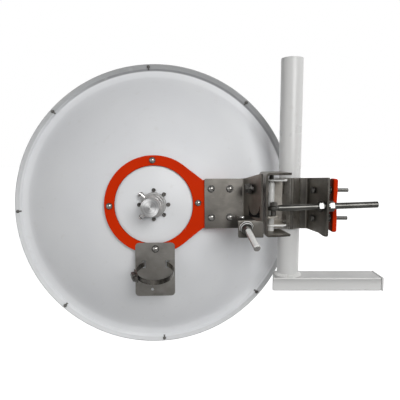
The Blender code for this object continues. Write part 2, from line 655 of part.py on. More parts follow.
def cable_bracket():
    seat = RING_Z[1] + GAP
    outline = rounded(rectangle(CABLE_PLATE_X, CABLE_PLATE_Y), 0.008)
    plate = flat("cable_plate", outline, seat, seat + CABLE_PLATE, STEEL, DISH)
    middle, slot_y = BAND_AT
    droop = Matrix.Rotation(math.radians(-90) - BAND_DROOP, 4, "X")
    loop = Matrix.Translation((middle, slot_y, seat + CABLE_PLATE / 2)) @ \
        Matrix.Rotation(math.radians(90) + BAND_DROOP, 4, "X")
    half = BAND_WIDTH / 2
    band = flat("cable_band", band_points(0), -half, half, STEEL, DISH, loop)
    cut(band, flat("cable_band_inside", band_points(BAND_SHEET), -half - 0.01, half + 0.01,
                   None, DISH, loop))
    for i, x in enumerate((middle - BAND_CHORD, middle + BAND_CHORD)):
        cut(plate, box(f"band_slot_{i}", (x - 0.0035, slot_y - 0.008, seat - 0.01),
                       (x + 0.0035, slot_y + 0.008, seat + 0.01), None, DISH))
    cut(plate, rod("cable_plate_hole", 0.003, (-0.004, -0.1805, seat - 0.01),
                   (-0.004, -0.1805, seat + 0.01), None, DISH))
    x, y = RING_BOLTS * math.sin(RING_BOLT_TURN), -RING_BOLTS * math.cos(RING_BOLT_TURN)
    low = seat + CABLE_PLATE + GAP
    bolt = hexagon("cable_plate_bolt", M6_FLATS, (x, y, low), (x, y, low + 0.0055), BRIGHT, DISH)
    join(bolt, rod("cable_plate_washer", M6_WASHER, (x, y, low), (x, y, low + 0.0015), None, DISH))
    centre = math.sqrt(BAND_RADIUS**2 - BAND_CHORD**2)
    out = BAND_RADIUS + GAP + 0.004
    at = (out * math.cos(SCREW_AT), centre + out * math.sin(SCREW_AT))
    turn = Matrix.Translation((at[0], at[1], 0)) @ Matrix.Rotation(SCREW_AT, 4, "Z")
    housing = flat("band_screw", rectangle((-0.0036, 0.0045), (-0.008, 0.008)), -0.0075, 0.0075,
                   BRIGHT, DISH, loop @ turn)
    cut(housing, flat("band_screw_relief", [(r * math.cos(a) - out, r * math.sin(a)) for r, a in
                      [(BAND_RADIUS + GAP, math.pi * 2 * i / 96) for i in range(96)]],
                      -0.02, 0.02, None, DISH, loop @ turn))
    return droop


def build():
    support_arm()
    pole()
    wing_y = mast_bracket()
    pivot_lugs(wing_y)
    pole_clamp(wing_y)
    jaw_bar()
    azimuth_rod()
    azimuth_channel()
    rod_swivel()
    elevation_pivot()
    reflector()
    radome()
    mounting_ring()
    reflector_bracket()
    elevation_clip()
    hub()
    cable_bracket()


build()
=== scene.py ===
"""Looks of the microwave dish antenna: folded steel, threads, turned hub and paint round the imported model."""
from math import acos, atan2, cos, hypot, pi, radians, sin, sqrt, tan, tau

import bmesh
import bpy
from mathutils import Matrix, Vector


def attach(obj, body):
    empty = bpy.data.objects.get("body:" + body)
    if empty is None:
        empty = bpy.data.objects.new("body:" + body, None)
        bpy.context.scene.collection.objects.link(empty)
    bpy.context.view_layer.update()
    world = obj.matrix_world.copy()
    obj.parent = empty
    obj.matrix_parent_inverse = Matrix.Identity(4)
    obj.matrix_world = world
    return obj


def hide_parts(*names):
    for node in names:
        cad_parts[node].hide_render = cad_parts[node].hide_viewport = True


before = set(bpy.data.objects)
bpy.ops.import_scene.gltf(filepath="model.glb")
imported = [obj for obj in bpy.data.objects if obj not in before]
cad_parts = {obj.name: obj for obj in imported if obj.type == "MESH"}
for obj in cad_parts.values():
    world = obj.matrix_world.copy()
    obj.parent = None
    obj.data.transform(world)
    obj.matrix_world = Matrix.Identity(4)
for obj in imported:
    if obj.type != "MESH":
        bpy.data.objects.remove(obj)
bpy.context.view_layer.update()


def moved(x=0, y=0, z=0):
    return Matrix.Translation((x, y, z))


def spun(degrees, axis="Z"):
    return Matrix.Rotation(radians(degrees), 4, axis)


# Axes that the solids turn on: the upright pin, the tilt bolt in the head, and the rod's two ends
PIN_X, PIN_Y = -0.262, -0.07
TILT_Y, TILT_Z = -0.0114, 0.2195
ROD_START, ROD_END = Vector((PIN_X, -0.1, 0.1808)), Vector((-0.051, -0.1, 0.1884))

# Frames of the turning groups, as the solids have them. The dish's Z is its axis, out of its back.
AZIMUTH = moved(PIN_X, PIN_Y) @ spun(3.3)
ELEVATION = AZIMUTH @ moved(0, TILT_Y, TILT_Z) @ spun(-5.3, "X")
DISH = ELEVATION @ moved(-0.2453, 0.1807, -0.0329) @ spun(90, "X")
WORLD = Matrix.Identity(4)

# How folded plates stand up: third axis to Y, or first and third axes exchanged
UPRIGHT = Matrix(((1, 0, 0, 0), (0, 0, 1, 0), (0, 1, 0, 0), (0, 0, 0, 1)))
SIDEWAYS = Matrix(((0, 0, 1, 0), (0, 1, 0, 0), (1, 0, 0, 0), (0, 0, 0, 1)))

POLE_X, POLE_RADIUS = -0.2093, 0.02415
POLE = moved(POLE_X)
JAW_STUDS = (("lower", 0.154), ("upper", 0.2137))
RIM_RADIUS, RIM_Z, RIM_TILT = 0.3286, 0.0141, 24
RING_LOW, RING_HIGH, RING_BOLTS = 0.1309, 0.1358, 0.0943
PLATE_Z = 0.1361
HUB_LOW, HUB_TOP, HUB_LEAN = 0.1393, 0.205, 0.066

M8_FLATS, M12_FLATS = 0.013, 0.019
M8_PITCH, M10_PITCH, M12_PITCH = 0.00125, 0.0015, 0.00175
THREAD_DEPTH, THREAD_STEPS = 0.045, 24  # depth as a share of the pitch
WASHER = 0.0013
NUT_TURN = -14

SHARP = radians(20)  # shading breaks at edges sharper than this
DISH_STEPS = 160


# Shapes

def turned(profile, steps=96, closed=True):
    """A profile of (radius, height) turned about Z. An open one starts and ends on the axis."""
    shape = bmesh.new()
    points = [shape.verts.new((radius, 0, height)) for radius, height in profile]
    edges = [shape.edges.new(pair) for pair in zip(points, points[1:])]
    if closed:
        edges.append(shape.edges.new((points[-1], points[0])))
    bmesh.ops.spin(shape, geom=points + edges, cent=(0, 0, 0), axis=(0, 0, 1), angle=tau,
                   steps=steps, use_merge=True)
    bmesh.ops.remove_doubles(shape, verts=shape.verts, dist=0.000002)
    bmesh.ops.recalc_face_normals(shape, faces=shape.faces)
    return shape


def disc(radius, low, high, chamfer=0.0005, bore=0, steps=48):
    """A washer when it has a bore, else a round pin or bar."""
    inner = radius - chamfer
    rim = [(inner, low), (radius, low + chamfer), (radius, high - chamfer), (inner, high)]
    if bore:
        return turned([(bore, low)] + rim + [(bore, high)], steps)
    return turned([(0, low)] + rim + [(0, high)], steps, closed=False)


def hexagon(flats, low, high, bore=0, both=False, dome=0):
    """A bolt head or nut along Z, with the corners of its faces turned down to a cone."""
    inner, outer = flats * 0.48, flats * 0.5
    crown = [(inner * share, high + dome * (1 - share**2)) for share in (0.8, 0.6, 0.4, 0.2)] if dome else []
    sides = [(inner, low), (outer, low), (outer, high), (inner, high)]
    profile = [(bore, low)] + sides + crown + [(bore, high + dome)]
    shape = turned(profile, 36, closed=bore > 0)
    for vert in shape.verts:
        radius = hypot(vert.co.x, vert.co.y)
        if abs(radius - outer) > 0.00001:
            continue
        way = atan2(vert.co.y, vert.co.x)
        corner = outer / cos((way + pi / 6) % (pi / 3) - pi / 6)
        drop = (corner - inner) * tan(radians(30))
        vert.co.x *= corner / radius
        vert.co.y *= corner / radius
        if vert.co.z > (low + high) / 2:
            vert.co.z -= drop
        elif both:
            vert.co.z += drop
    return shape


def sliced(shape, at, way, near=0.000001, clear=False):
    """Cuts the faces along a plane, and drops what lies beyond it when told to."""
    everything = shape.verts[:] + shape.edges[:] + shape.faces[:]
    bmesh.ops.bisect_plane(shape, geom=everything, dist=near, plane_co=at, plane_no=way, clear_outer=clear)


def thread(radius, low, high, pitch=M10_PITCH):
    """A screw thread up Z: one crest after another, each step of the turn a little higher."""
    shape = bmesh.new()
    count = int((high - low) / pitch) + 4
    depth = pitch * THREAD_DEPTH
    points = []
    for i in range(count * 4):
        offset = (0, 0.1, 0.9, 1)[i % 4]
        points.append(shape.verts.new((radius - depth * offset * (1 if i % 4 < 3 else 0.9), 0,
                                       low - 2 * pitch + pitch * (i // 4 + (0.06, 0.2, 0.55, 0.75)[i % 4]))))
    edges = [shape.edges.new(pair) for pair in zip(points, points[1:])]
    bmesh.ops.spin(shape, geom=points + edges, cent=(0, 0, 0), axis=(0, 0, 1), angle=tau,
                   dvec=(0, 0, pitch / THREAD_STEPS), steps=THREAD_STEPS)
    bmesh.ops.remove_doubles(shape, verts=shape.verts, dist=0.00001)
    for height, way in ((low, -1), (high, 1)):
        sliced(shape, (0, 0, height), (0, 0, way), clear=True)
    bmesh.ops.holes_fill(shape, edges=[edge for edge in shape.edges if edge.is_boundary])
    bmesh.ops.recalc_face_normals(shape, faces=shape.faces)
    return shape


def soften_edges(shape, edges, by, segments):
    bmesh.ops.bevel(shape, geom=edges, offset=by, offset_type="OFFSET", affect="EDGES",
                    segments=segments, profile=0.5, material=-1)


def block(low, high, soften, segments=3):
    """A bar with all its edges rounded."""
    low, high = Vector(low), Vector(high)
    shape = bmesh.new()
    bmesh.ops.create_cube(shape, size=1)
    bmesh.ops.scale(shape, vec=high - low, verts=shape.verts)
    bmesh.ops.translate(shape, vec=(low + high) / 2, verts=shape.verts)
    soften_edges(shape, shape.edges[:], soften, segments)
    return shape


def arc(x, y, wide, high, start, end, steps):
    """Points on part of an ellipse, both ends included."""
    ways = [start + (end - start) * i / steps for i in range(steps + 1)]
    return [(x + wide * cos(way), y + high * sin(way)) for way in ways]


def circle(x, y, radius, steps=24):
    return arc(x, y, radius, radius, 0, tau, steps)[:-1]


def corners(left, low, right, high):
    return [(left, low), (right, low), (right, high), (left, high)]


def eased(points, rounds=3):
    """The line with its corners cut again and again, so that it runs as a smooth curve."""
    for _ in range(rounds):
        cuts = [tuple(a + (b - a) * share for a, b in zip(before, after))
                for before, after in zip(points, points[1:]) for share in (0.25, 0.75)]
        points = [points[0]] + cuts + [points[-1]]
    return points


def rounded(line, radii, closed=True, steps=6):
    """The line with an arc in place of each corner that has a radius."""
    if not isinstance(radii, (list, tuple)):
        radii = [radii] * len(line)
    points = []
    for i, (corner, radius) in enumerate(zip(line, radii)):
        here = Vector(corner)
        if radius == 0 or not closed and i in (0, len(line) - 1):
            points.append(here)
            continue
        back = (Vector(line[i - 1]) - here).normalized()
        on = (Vector(line[(i + 1) % len(line)]) - here).normalized()
        half = back.angle(on) / 2
        middle = here + (back + on).normalized() * radius / sin(half)
        first = here + back * radius / tan(half) - middle
        last = here + on * radius / tan(half) - middle
        turn = last.angle_signed(first)
        points += [middle + Matrix.Rotation(turn * step / steps, 2) @ first for step in range(steps + 1)]
    return points


def sheet(outline, holes, thickness, soften=0.0004):
    """A flat plate in XY with holes, half its thickness either side, and its cut edges broken."""
    shape = bmesh.new()
    for loop in [outline, *holes]:
        points = [shape.verts.new((point[0], point[1], 0)) for point in loop]
        for pair in zip(points, points[1:] + points[:1]):
            shape.edges.new(pair)
    bmesh.ops.triangle_fill(shape, use_beauty=True, edges=shape.edges[:], normal=(0, 0, 1))
    bmesh.ops.dissolve_limit(shape, angle_limit=0.01, verts=shape.verts[:], edges=shape.edges[:])
    bmesh.ops.solidify(shape, geom=shape.faces[:], thickness=thickness)
    heights = [vert.co.z for vert in shape.verts]
    bmesh.ops.translate(shape, vec=(0, 0, -(min(heights) + max(heights)) / 2), verts=shape.verts)
    bmesh.ops.recalc_face_normals(shape, faces=shape.faces)
    rims = [edge for edge in shape.edges if abs(edge.verts[0].co.z - edge.verts[1].co.z) < 0.00001
            and edge.calc_face_angle(0) > 1]
    soften_edges(shape, rims, soften, 2)
    return mark(shape, lambda face: abs(face.normal.z) < 0.9)


def mark(shape, choose):
    """Gives each face the number of its finish, which choose(face) says; 0 is the piece's own."""
    shape.normal_update()
    for face in shape.faces:
        face.material_index = int(choose(face))
    return shape


def facing(way, least):
    """A choice for mark: the faces whose normals lie near a direction."""
    way = Vector(way).normalized()
    return lambda face: face.normal.dot(way) > least


def middle_of(face):
    """A face's middle, and how far that is from Z."""
    at = face.calc_center_median()
    return at, hypot(at.x, at.y)


def folded(shape, line, turn=WORLD):
    """Bends a flat plate along a line: its X runs on the line, and its Y becomes the third axis."""
    line = [Vector(point) for point in line]
    spans = [after - before for before, after in zip(line, line[1:])]
    reach = [0]
    for span in spans:
        reach.append(reach[-1] + span.length)
    ways = [span.normalized() for span in spans]
    tangents = [ways[0]] + [(a + b).normalized() for a, b in zip(ways, ways[1:])] + [ways[-1]]
    for station in reach[1:-1]:
        sliced(shape, (station, 0, 0), (1, 0, 0), near=0.0000001)
    for vert in shape.verts:
        i = max(k for k in range(len(line) - 1) if k == 0 or vert.co.x >= reach[k] - 0.0000005)
        share = (vert.co.x - reach[i]) / (reach[i + 1] - reach[i])
        point = line[i].lerp(line[i + 1], share)
        way = tangents[i].lerp(tangents[i + 1], min(max(share, 0), 1)).normalized()
        side = Vector((-way.y, way.x)) * vert.co.z
        vert.co = turn @ Vector((point.x + side.x, point.y + side.y, vert.co.y))
    bmesh.ops.recalc_face_normals(shape, faces=shape.faces)
    if shape.calc_volume(signed=True) < 0:
        bmesh.ops.reverse_faces(shape, faces=shape.faces)
    return shape


def length_of(line):
    return sum((Vector(b) - Vector(a)).length for a, b in zip(line, line[1:]))


def aimed(at, way, axis="Z"):
    """A matrix whose Z, or another axis, runs along way from at."""
    return moved(*at) @ Vector(way).to_track_quat(axis, "Y").to_matrix().to_4x4()


def together(*parts):
    """One shape of several; a part that isn't in its place yet comes with its matrix."""
    whole = bmesh.new()
    for shape, place in (part if isinstance(part, tuple) else (part, WORLD) for part in parts):
        bmesh.ops.transform(shape, matrix=place, verts=shape.verts)
        spare = bpy.data.meshes.new("spare")
        shape.to_mesh(spare)
        shape.free()
        whole.from_mesh(spare)
        bpy.data.meshes.remove(spare)
    return whole


def added(name, data):
    made = bpy.data.objects.new(name, data)
    bpy.context.scene.collection.objects.link(made)
    return made


def piece(name, shape, body, finish, place=WORLD, stands_for="", marked=()):
    """A finished piece, placed in its own mesh, riding on its body. Marked faces have their own finishes."""
    if not marked:
        mark(shape, lambda face: 0)
    bmesh.ops.transform(shape, matrix=place, verts=shape.verts)
    mesh = bpy.data.meshes.new(name)
    shape.to_mesh(mesh)
    shape.free()
    for each in (finish, *marked):
        mesh.materials.append(each)
    mesh.shade_smooth()
    mesh.set_sharp_from_angle(angle=SHARP)
    made = added(name, mesh)
    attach(made, body)
    if stands_for:
        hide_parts(stands_for)


# Finishes

def grey_ramp(tree, value, *stops):
    """A ramp from grey to grey; each stop is a position and a grey."""
    node = tree.nodes.new("ShaderNodeValToRGB")
    elements = node.color_ramp.elements
    while len(elements) < len(stops):
        elements.new(0.5)
    for element, (position, grey) in zip(elements, stops):
        element.position = position
        element.color = (grey, grey, grey, 1)
    tree.links.new(value, node.inputs["Fac"])
    return node.outputs["Color"]


class Finish:
    """A material and the few kinds of node that these finishes are mixed from."""

    def __init__(self, name, roughness, metallic=0):
        self.material = bpy.data.materials.new(name)
        self.material.use_nodes = True
        self.nodes = self.material.node_tree.nodes
        self.links = self.material.node_tree.links
        self.shader = self.nodes["Principled BSDF"]
        self.shader.inputs["Roughness"].default_value = roughness
        self.shader.inputs["Metallic"].default_value = metallic
        self.place = self.nodes.new("ShaderNodeTexCoord").outputs["Object"]

    def vector(self, operation, first, second=None):
        """A vector node's result: a vector, or a number for a length or a dot product."""
        node = self.nodes.new("ShaderNodeVectorMath")
        node.operation = operation
        self.links.new(first, node.inputs[0])
        if second:
            node.inputs[1].default_value = second
        return node.outputs["Value" if operation in ("LENGTH", "DOT_PRODUCT") else "Vector"]

    def multiply(self, first, second):
        node = self.nodes.new("ShaderNodeMath")
        node.operation = "MULTIPLY"
        self.links.new(first, node.inputs[0])
        self.links.new(second, node.inputs[1])
        return node.outputs["Value"]

    def coordinate(self, letter):
        parts = self.nodes.new("ShaderNodeSeparateXYZ")
        self.links.new(self.place, parts.inputs["Vector"])
        return parts.outputs[letter]

    def on_dish(self):
        """Distance from the dish's axis, and how far up and right a point lies on the dish."""
        inward = DISH.inverted()
        centred = self.spread((1, 1, 1), tuple(inward.to_euler()), tuple(inward.translation))
        return self.vector("LENGTH", self.vector("MULTIPLY", centred, (1, 1, 0))), \
            self.vector("DOT_PRODUCT", centred, (0.45, 0.89, 0))

    def spread(self, scale, turn=(0, 0, 0), shift=(0, 0, 0)):
        """Object coordinates, stretched and turned for a pattern."""
        mapping = self.nodes.new("ShaderNodeMapping")
        mapping.inputs["Scale"].default_value = scale
        mapping.inputs["Rotation"].default_value = turn
        mapping.inputs["Location"].default_value = shift
        self.links.new(self.place, mapping.inputs["Vector"])
        return mapping.outputs["Vector"]

    def noise(self, scale, detail=4, vector=None, distortion=0):
        node = self.nodes.new("ShaderNodeTexNoise")
        node.inputs["Scale"].default_value = scale
        node.inputs["Detail"].default_value = detail
        node.inputs["Distortion"].default_value = distortion
        self.links.new(vector or self.place, node.inputs["Vector"])
        return node.outputs["Fac"]

    def ramp(self, value, *stops):
        return grey_ramp(self.material.node_tree, value, *stops)

    def blend(self, share, under, over):
        """Colour under with colour over laid on it by a share."""
        node = self.nodes.new("ShaderNodeMix")
        node.data_type = "RGBA"
        self.links.new(share, node.inputs["Factor"])
        for socket, colour in ((node.inputs[6], under), (node.inputs[7], over)):
            if isinstance(colour, tuple):
                socket.default_value = (*colour, 1)
            else:
                self.links.new(colour, socket)
        return node.outputs[2]

    def between(self, value, low, high, start=0.3, end=0.7):
        """A value spread over a range, such as a roughness."""
        node = self.nodes.new("ShaderNodeMapRange")
        for socket, number in (("From Min", start), ("From Max", end), ("To Min", low), ("To Max", high)):
            node.inputs[socket].default_value = number
        self.links.new(value, node.inputs["Value"])
        return node.outputs["Result"]

    def wear(self, colour, roughness=None):
        self.links.new(colour, self.shader.inputs["Base Color"])
        if roughness is not None:
            self.links.new(roughness, self.shader.inputs["Roughness"])

    def relief(self, *layers):
        """Bumps laid one on another; each layer is a height, a strength and a depth in metres."""
        last = None
        for height, strength, depth in layers:
            bump = self.nodes.new("ShaderNodeBump")
            bump.inputs["Strength"].default_value = strength
            bump.inputs["Distance"].default_value = depth
            self.links.new(height, bump.inputs["Height"])
            if last:
                self.links.new(last, bump.inputs["Normal"])
            last = bump.outputs["Normal"]
        self.links.new(last, self.shader.inputs["Normal"])


def shaded(colour, share):
    return tuple(channel * share for channel in colour)


def paint(name, light, dark, grime, roughness=0.38, peel=0.08, gloss=0.5, rim_shade=None, shaded_top=False):
    """Sprayed paint: slight cloudiness, orange peel and a thin film of dust.

    Outside the given radii the rim is greyer, and darker toward the upper right as painted shade,
    with a painted shadow band on the step at the upper right.
    With a shaded top, painted shade darkens the arm toward its top, most just under the top edge.
    """
    finish = Finish(name, roughness)
    finish.shader.inputs["Specular IOR Level"].default_value = gloss
    clouds = finish.noise(5, 3)
    body = finish.blend(finish.between(clouds, 0, 1), dark, light)
    if rim_shade:
        # Painted shade on the rim: greyer, darker toward the upper right, and a painted shadow band on the step
        radius, upward = finish.on_dish()
        rim = finish.blend(finish.between(upward, 0, 1, -0.2, 0.24), shaded(light, 0.84), shaded(light, 0.46))
        body = finish.blend(finish.between(radius, 0, 1, *rim_shade), body, rim)
        band = finish.ramp(finish.between(radius, 0, 1, 0.316, 0.328),
                           (0.2, 0), (0.42, 1), (0.7, 1), (0.8, 0))
        shade = finish.multiply(band, finish.between(upward, 0, 1, 0.02, 0.22))
        body = finish.blend(shade, body, shaded(dark, 0.42))
    if shaded_top:
        # Painted shade, darker toward the top of the arm
        height = finish.between(finish.coordinate("Z"), 0, 1, -0.015, 0.015)
        top_shade = finish.ramp(height, (0, 0), (0.55, 0.3), (0.92, 1), (1, 0.72))
        body = finish.blend(top_shade, body, shaded(dark, 0.6))
    dust = finish.ramp(finish.noise(60, 6), (0.62, 0), (0.8, 0.35))
    finish.wear(finish.blend(dust, body, grime),
                finish.between(finish.noise(25), roughness - 0.06, roughness + 0.1))
    finish.relief((finish.noise(700, 2), peel, 0.0003), (finish.noise(30, 2), 0.05, 0.0006))
    return finish.material


def rolled_steel(name, light, dark, roughness, grain=(1, 1, 1), streak=1):
    """Stainless plate: cloudy mill finish, a faint grain and scattered scuffs."""
    finish = Finish(name, roughness, metallic=1)
    clouds = finish.noise(28, 5, distortion=0.6)
    body = finish.blend(finish.between(clouds, 0, 1, 0.35, 0.68), dark, light)
    brushed = finish.noise(60, 3, finish.spread(grain))
    scuffs = finish.ramp(finish.noise(90, 8, finish.spread((1, 1, 3.5), (0.4, 0.6, 0.2))),
                         (0.58, 0), (0.72, 0.5 * streak))
    finish.wear(finish.blend(scuffs, body, shaded(light, 1.3)),
                finish.between(brushed, roughness - 0.07 * streak, roughness + 0.12 * streak))
    finish.relief((brushed, 0.1, 0.0002), (finish.noise(45, 3), 0.07, 0.0008))
    return finish.material


def bright_steel(name, light, dark, roughness, metallic=1):
    """Zinc-plated bolts, nuts and threads, a little dull in patches."""
    finish = Finish(name, roughness, metallic)
    patches = finish.noise(120)
    finish.wear(finish.blend(finish.between(patches, 0, 1), dark, light),
                finish.between(finish.noise(260, 3), roughness - 0.06, roughness + 0.1))
    finish.relief((finish.noise(500, 2), 0.06, 0.0001))
    return finish.material


def turned_aluminium():
    """Rings left by the lathe, laid along the piece's own UV, with sheen across them."""
    finish = Finish("turned_aluminium", 0.4, metallic=1)
    lathe = finish.nodes.new("ShaderNodeUVMap")
    lathe.uv_map = "lathe"
    split = finish.nodes.new("ShaderNodeSeparateXYZ")
    finish.links.new(lathe.outputs["UV"], split.inputs["Vector"])
    across = finish.nodes.new("ShaderNodeCombineXYZ")
    finish.links.new(split.outputs["Y"], across.inputs["X"])
    rings = finish.noise(260, 1, across.outputs["Vector"])
    wide = finish.noise(90, 2, across.outputs["Vector"])
    finish.wear(finish.blend(finish.between(wide, 0, 1, 0.35, 0.65), (0.42, 0.42, 0.42), (0.66, 0.66, 0.66)),
                finish.between(rings, 0.36, 0.46))
    finish.relief((rings, 0.12, 0.0002))
    tangent = finish.nodes.new("ShaderNodeTangent")
    tangent.direction_type = "UV_MAP"
    tangent.uv_map = "lathe"
    finish.links.new(tangent.outputs["Tangent"], finish.shader.inputs["Tangent"])
    finish.shader.inputs["Anisotropic"].default_value = 0.7
    return finish.material


def oxide_and_shade_black():
    finish = Finish("oxide_and_shade_black_steel", 0.4, metallic=0.6)
    rub = finish.noise(300)
    body = finish.blend(finish.between(rub, 0, 1, 0.4, 0.75), (0.045, 0.043, 0.04), (0.15, 0.145, 0.135))
    finish.wear(body, finish.between(rub, 0.32, 0.5))
    finish.relief((finish.noise(900, 2), 0.08, 0.0001))
    return finish.material


def cover_shell():
    """Moulded shell of the front cover: matt, with a fine pebbled skin."""
    finish = Finish("moulded_cover", 0.55)
    body = finish.blend(finish.between(finish.noise(3, 3), 0, 1), (0.74, 0.745, 0.74), (0.8, 0.8, 0.79))
    finish.wear(body, finish.between(finish.noise(18), 0.48, 0.62))
    finish.relief((finish.noise(1200, 2), 0.1, 0.0002), (finish.noise(8, 2), 0.04, 0.002))
    return finish.material


DISH_PAINT = paint("reflector_grey_white", (0.8, 0.81, 0.82), (0.74, 0.75, 0.77), (0.66, 0.66, 0.64),
                   0.42, 0.05, rim_shade=(0.324, 0.3256))
POLE_PAINT = paint("satin_white", (0.69, 0.69, 0.68), (0.64, 0.64, 0.63), (0.55, 0.54, 0.51), 0.3)
ARM_PAINT = paint("satin_white_arm", (0.78, 0.78, 0.77), (0.72, 0.72, 0.71), (0.55, 0.54, 0.51), 0.34,
                  shaded_top=True)
WELD_AND_HIGHLIGHT_PAINT = paint("gloss_white_weld_and_highlight", (0.8, 0.8, 0.79), (0.7, 0.7, 0.68), (0.45, 0.44, 0.4), 0.22, 0.2, 0.7)
ORANGE = paint("signal_orange", (0.63, 0.03, 0.001), (0.55, 0.022, 0.001), (0.45, 0.035, 0.01),
               0.45, 0.06, 0.03)
SHADED_ORANGE = paint("shaded_orange", (0.17, 0.018, 0.004), (0.1, 0.013, 0.004), (0.08, 0.02, 0.01),
                    0.6, 0.06, 0.02)
# Grains of the steel, as stretches of its noise
MILL, TROUGH, DRAWN = (0.6, 0.6, 2), (0.3, 3, 0.3), (6, 0.3, 0.3)
BRACKET_STEEL = rolled_steel("mill_stainless", (0.165, 0.155, 0.14), (0.115, 0.108, 0.098), 0.36, MILL, 0.5)
CLIP_PLATE = rolled_steel("clip_stainless", (0.13, 0.122, 0.11), (0.075, 0.07, 0.063), 0.36, MILL, 0.6)
SHADE_STEEL = rolled_steel("trough_shade_stainless", (0.16, 0.15, 0.135), (0.105, 0.098, 0.088), 0.42, TROUGH, 0.6)
SHEET_STEEL = rolled_steel("sheet_stainless", (0.34, 0.325, 0.302), (0.26, 0.248, 0.229), 0.36, MILL, 0.4)
DARK_STEEL = rolled_steel("shaded_stainless", (0.39, 0.365, 0.328), (0.267, 0.25, 0.224), 0.42, TROUGH, 0.6)
TROUGH_STEEL = rolled_steel("flange_stainless", (0.29, 0.272, 0.244), (0.2, 0.187, 0.168), 0.42, TROUGH, 0.6)
EDGE_STEEL = rolled_steel("sheared_edge", (0.13, 0.12, 0.108), (0.07, 0.065, 0.058), 0.48, streak=0.6)
STRIP_AND_HIGHLIGHT_STEEL = rolled_steel("strip_and_highlight_stainless", (0.5, 0.48, 0.45), (0.34, 0.325, 0.3), 0.3, DRAWN)
ROD_STEEL = rolled_steel("drawn_rod", (0.17, 0.167, 0.156), (0.11, 0.108, 0.1), 0.34, DRAWN, 0.4)
# The band's strong dark and light patches are painted highlights and reflections
BAND_STEEL = rolled_steel("band_painted_sheen", (0.4, 0.375, 0.335), (0.045, 0.041, 0.036), 0.22, DRAWN)
BRIGHT = bright_steel("zinc_bright_steel", (0.8, 0.8, 0.79), (0.58, 0.58, 0.57), 0.26)
# Near-white zinc, laid on lit edges and faces as a painted highlight
ZINC_HIGHLIGHT = bright_steel("zinc_painted_highlight", (0.95, 0.95, 0.93), (0.87, 0.87, 0.85), 0.4, 0.1)
PIN_AND_HIGHLIGHT_ZINC = bright_steel("hinge_pin_and_highlight_zinc", (0.78, 0.78, 0.76), (0.66, 0.66, 0.645), 0.4, 0.15)
BOLT_HEAD = bright_steel("light_bolt_steel", (0.46, 0.45, 0.43), (0.28, 0.27, 0.25), 0.27)
BOLT_STEEL = bright_steel("dark_bolt_steel", (0.2, 0.192, 0.178), (0.09, 0.086, 0.08), 0.34)
CLIP_STEEL = bright_steel("weathered_clip_steel", (0.17, 0.165, 0.155), (0.1, 0.097, 0.09), 0.45, 0.5)
ALUMINIUM = turned_aluminium()
ALUMINIUM_SIDE = bright_steel("turned_side", (0.5, 0.5, 0.49), (0.36, 0.36, 0.355), 0.52, 0.55)
# Near-black, painted on the bracket's window as shade
PAINTED_SHADE_BLACK = bright_steel("shaded_slot", (0.012, 0.012, 0.011), (0.006, 0.006, 0.006), 0.8, 0)
BLACK = oxide_and_shade_black()
COVER = cover_shell()


# Stand: side arm, pole and its weld

def stand():
    arm = block((-0.2486, -0.03, -0.015), (-0.0043, 0.03, 0.015), 0.0035, 5)
    for vert in arm.verts:
        if vert.co.x < -0.2:
            vert.co.x += (vert.co.y + 0.03) * 0.19
    # The rounded edge between top and front is painted in the brighter weld paint as a highlight
    mark(arm, facing((0, -0.7, 0.7), 0.85))
    piece("side_arm", arm, "base", ARM_PAINT, WORLD, "support_arm", (WELD_AND_HIGHLIGHT_PAINT,))
    plate = block((-0.004, -0.03, -0.015), (0, 0.03, 0.015), 0.0008, 3)
    piece("arm_cap", plate, "base", POLE_PAINT, stands_for="arm_end_plate")
    low, top, bore = 0.0153, 0.4964, POLE_RADIUS - 0.003
    brow = arc(POLE_RADIUS - 0.0012, top - 0.0012, 0.0012, 0.0012, 0, pi / 2, 4)
    tube = turned([(bore, low), (POLE_RADIUS, low)] + brow +
                  [(0.0045, top), (0.004, top - 0.0005), (0.004, top - 0.002), (bore, top - 0.002)], 128)
    piece("upright_pole", tube, "base", POLE_PAINT, POLE, "pole")
    inner, size = POLE_RADIUS + 0.0002, 0.006
    bulges = [(way, size * (1 - 0.3 * sin(2 * way))) for way in (pi / 16 * i for i in range(9))]
    bead = [(inner + reach * cos(way), low + reach * sin(way)) for way, reach in bulges]
    weld = turned([(inner, low)] + bead, 288)
    for vert in weld.verts:
        out = hypot(vert.co.x, vert.co.y) - inner
        way = atan2(vert.co.y, vert.co.x)
        ripple = (0.3 * sin(46 * way) + 0.2 * sin(9 * way + 1)) * min(out, vert.co.z - low + 0.001)
        vert.co.x += ripple * cos(way)
        vert.co.y += ripple * sin(way)
    piece("foot_weld", weld, "base", WELD_AND_HIGHLIGHT_PAINT, POLE, "pole_weld")


# Mast bracket with its lugs, straps and jaw

def trough_bracket():
    line = rounded([(-0.062, -0.0193), (-0.0194, -0.0193), (0, -0.0307), (0.0194, -0.0193),
                    (0.0368, -0.0193), (0.0545, -0.112)], (0, 0.006, 0.008, 0.006, 0.0075, 0), closed=False)
    reach = length_of(line)
    fold = reach - 0.0944
    outline = rounded([(0, 0.1254), (fold, 0.1254), (fold + 0.058, 0.1262), (fold + 0.078, 0.1232),
                       (reach, 0.1236), (reach, 0.2435), (fold, 0.2378), (0, 0.2378)],
                      (0.002, 0.008, 0.03, 0.02, 0.006, 0.003, 0, 0.002))
    holes = [circle(fold + 0.0363, z, 0.0045) for _, z in JAW_STUDS] + [circle(fold + 0.0822, 0.1846, 0.0068)]
    plate = folded(sheet(outline, holes, 0.004), line)

    def finish_number(face):
        """Faces to the front: painted shade right of the fold, lighter left of it, painted highlight on the
        slopes beside it.
        """
        across, way = face.calc_center_median().x, face.normal
        if way.y < -0.95 and across > -0.008:
            return 2
        if way.y < -0.5 and abs(way.x) > 0.3 and abs(across) < 0.02:
            return 3
        return 4 if way.y < -0.95 else face.material_index

    piece("trough_bracket", mark(plate, finish_number), "base", TROUGH_STEEL, POLE,
          "mast_bracket", (EDGE_STEEL, SHADE_STEEL, STRIP_AND_HIGHLIGHT_STEEL, DARK_STEEL))


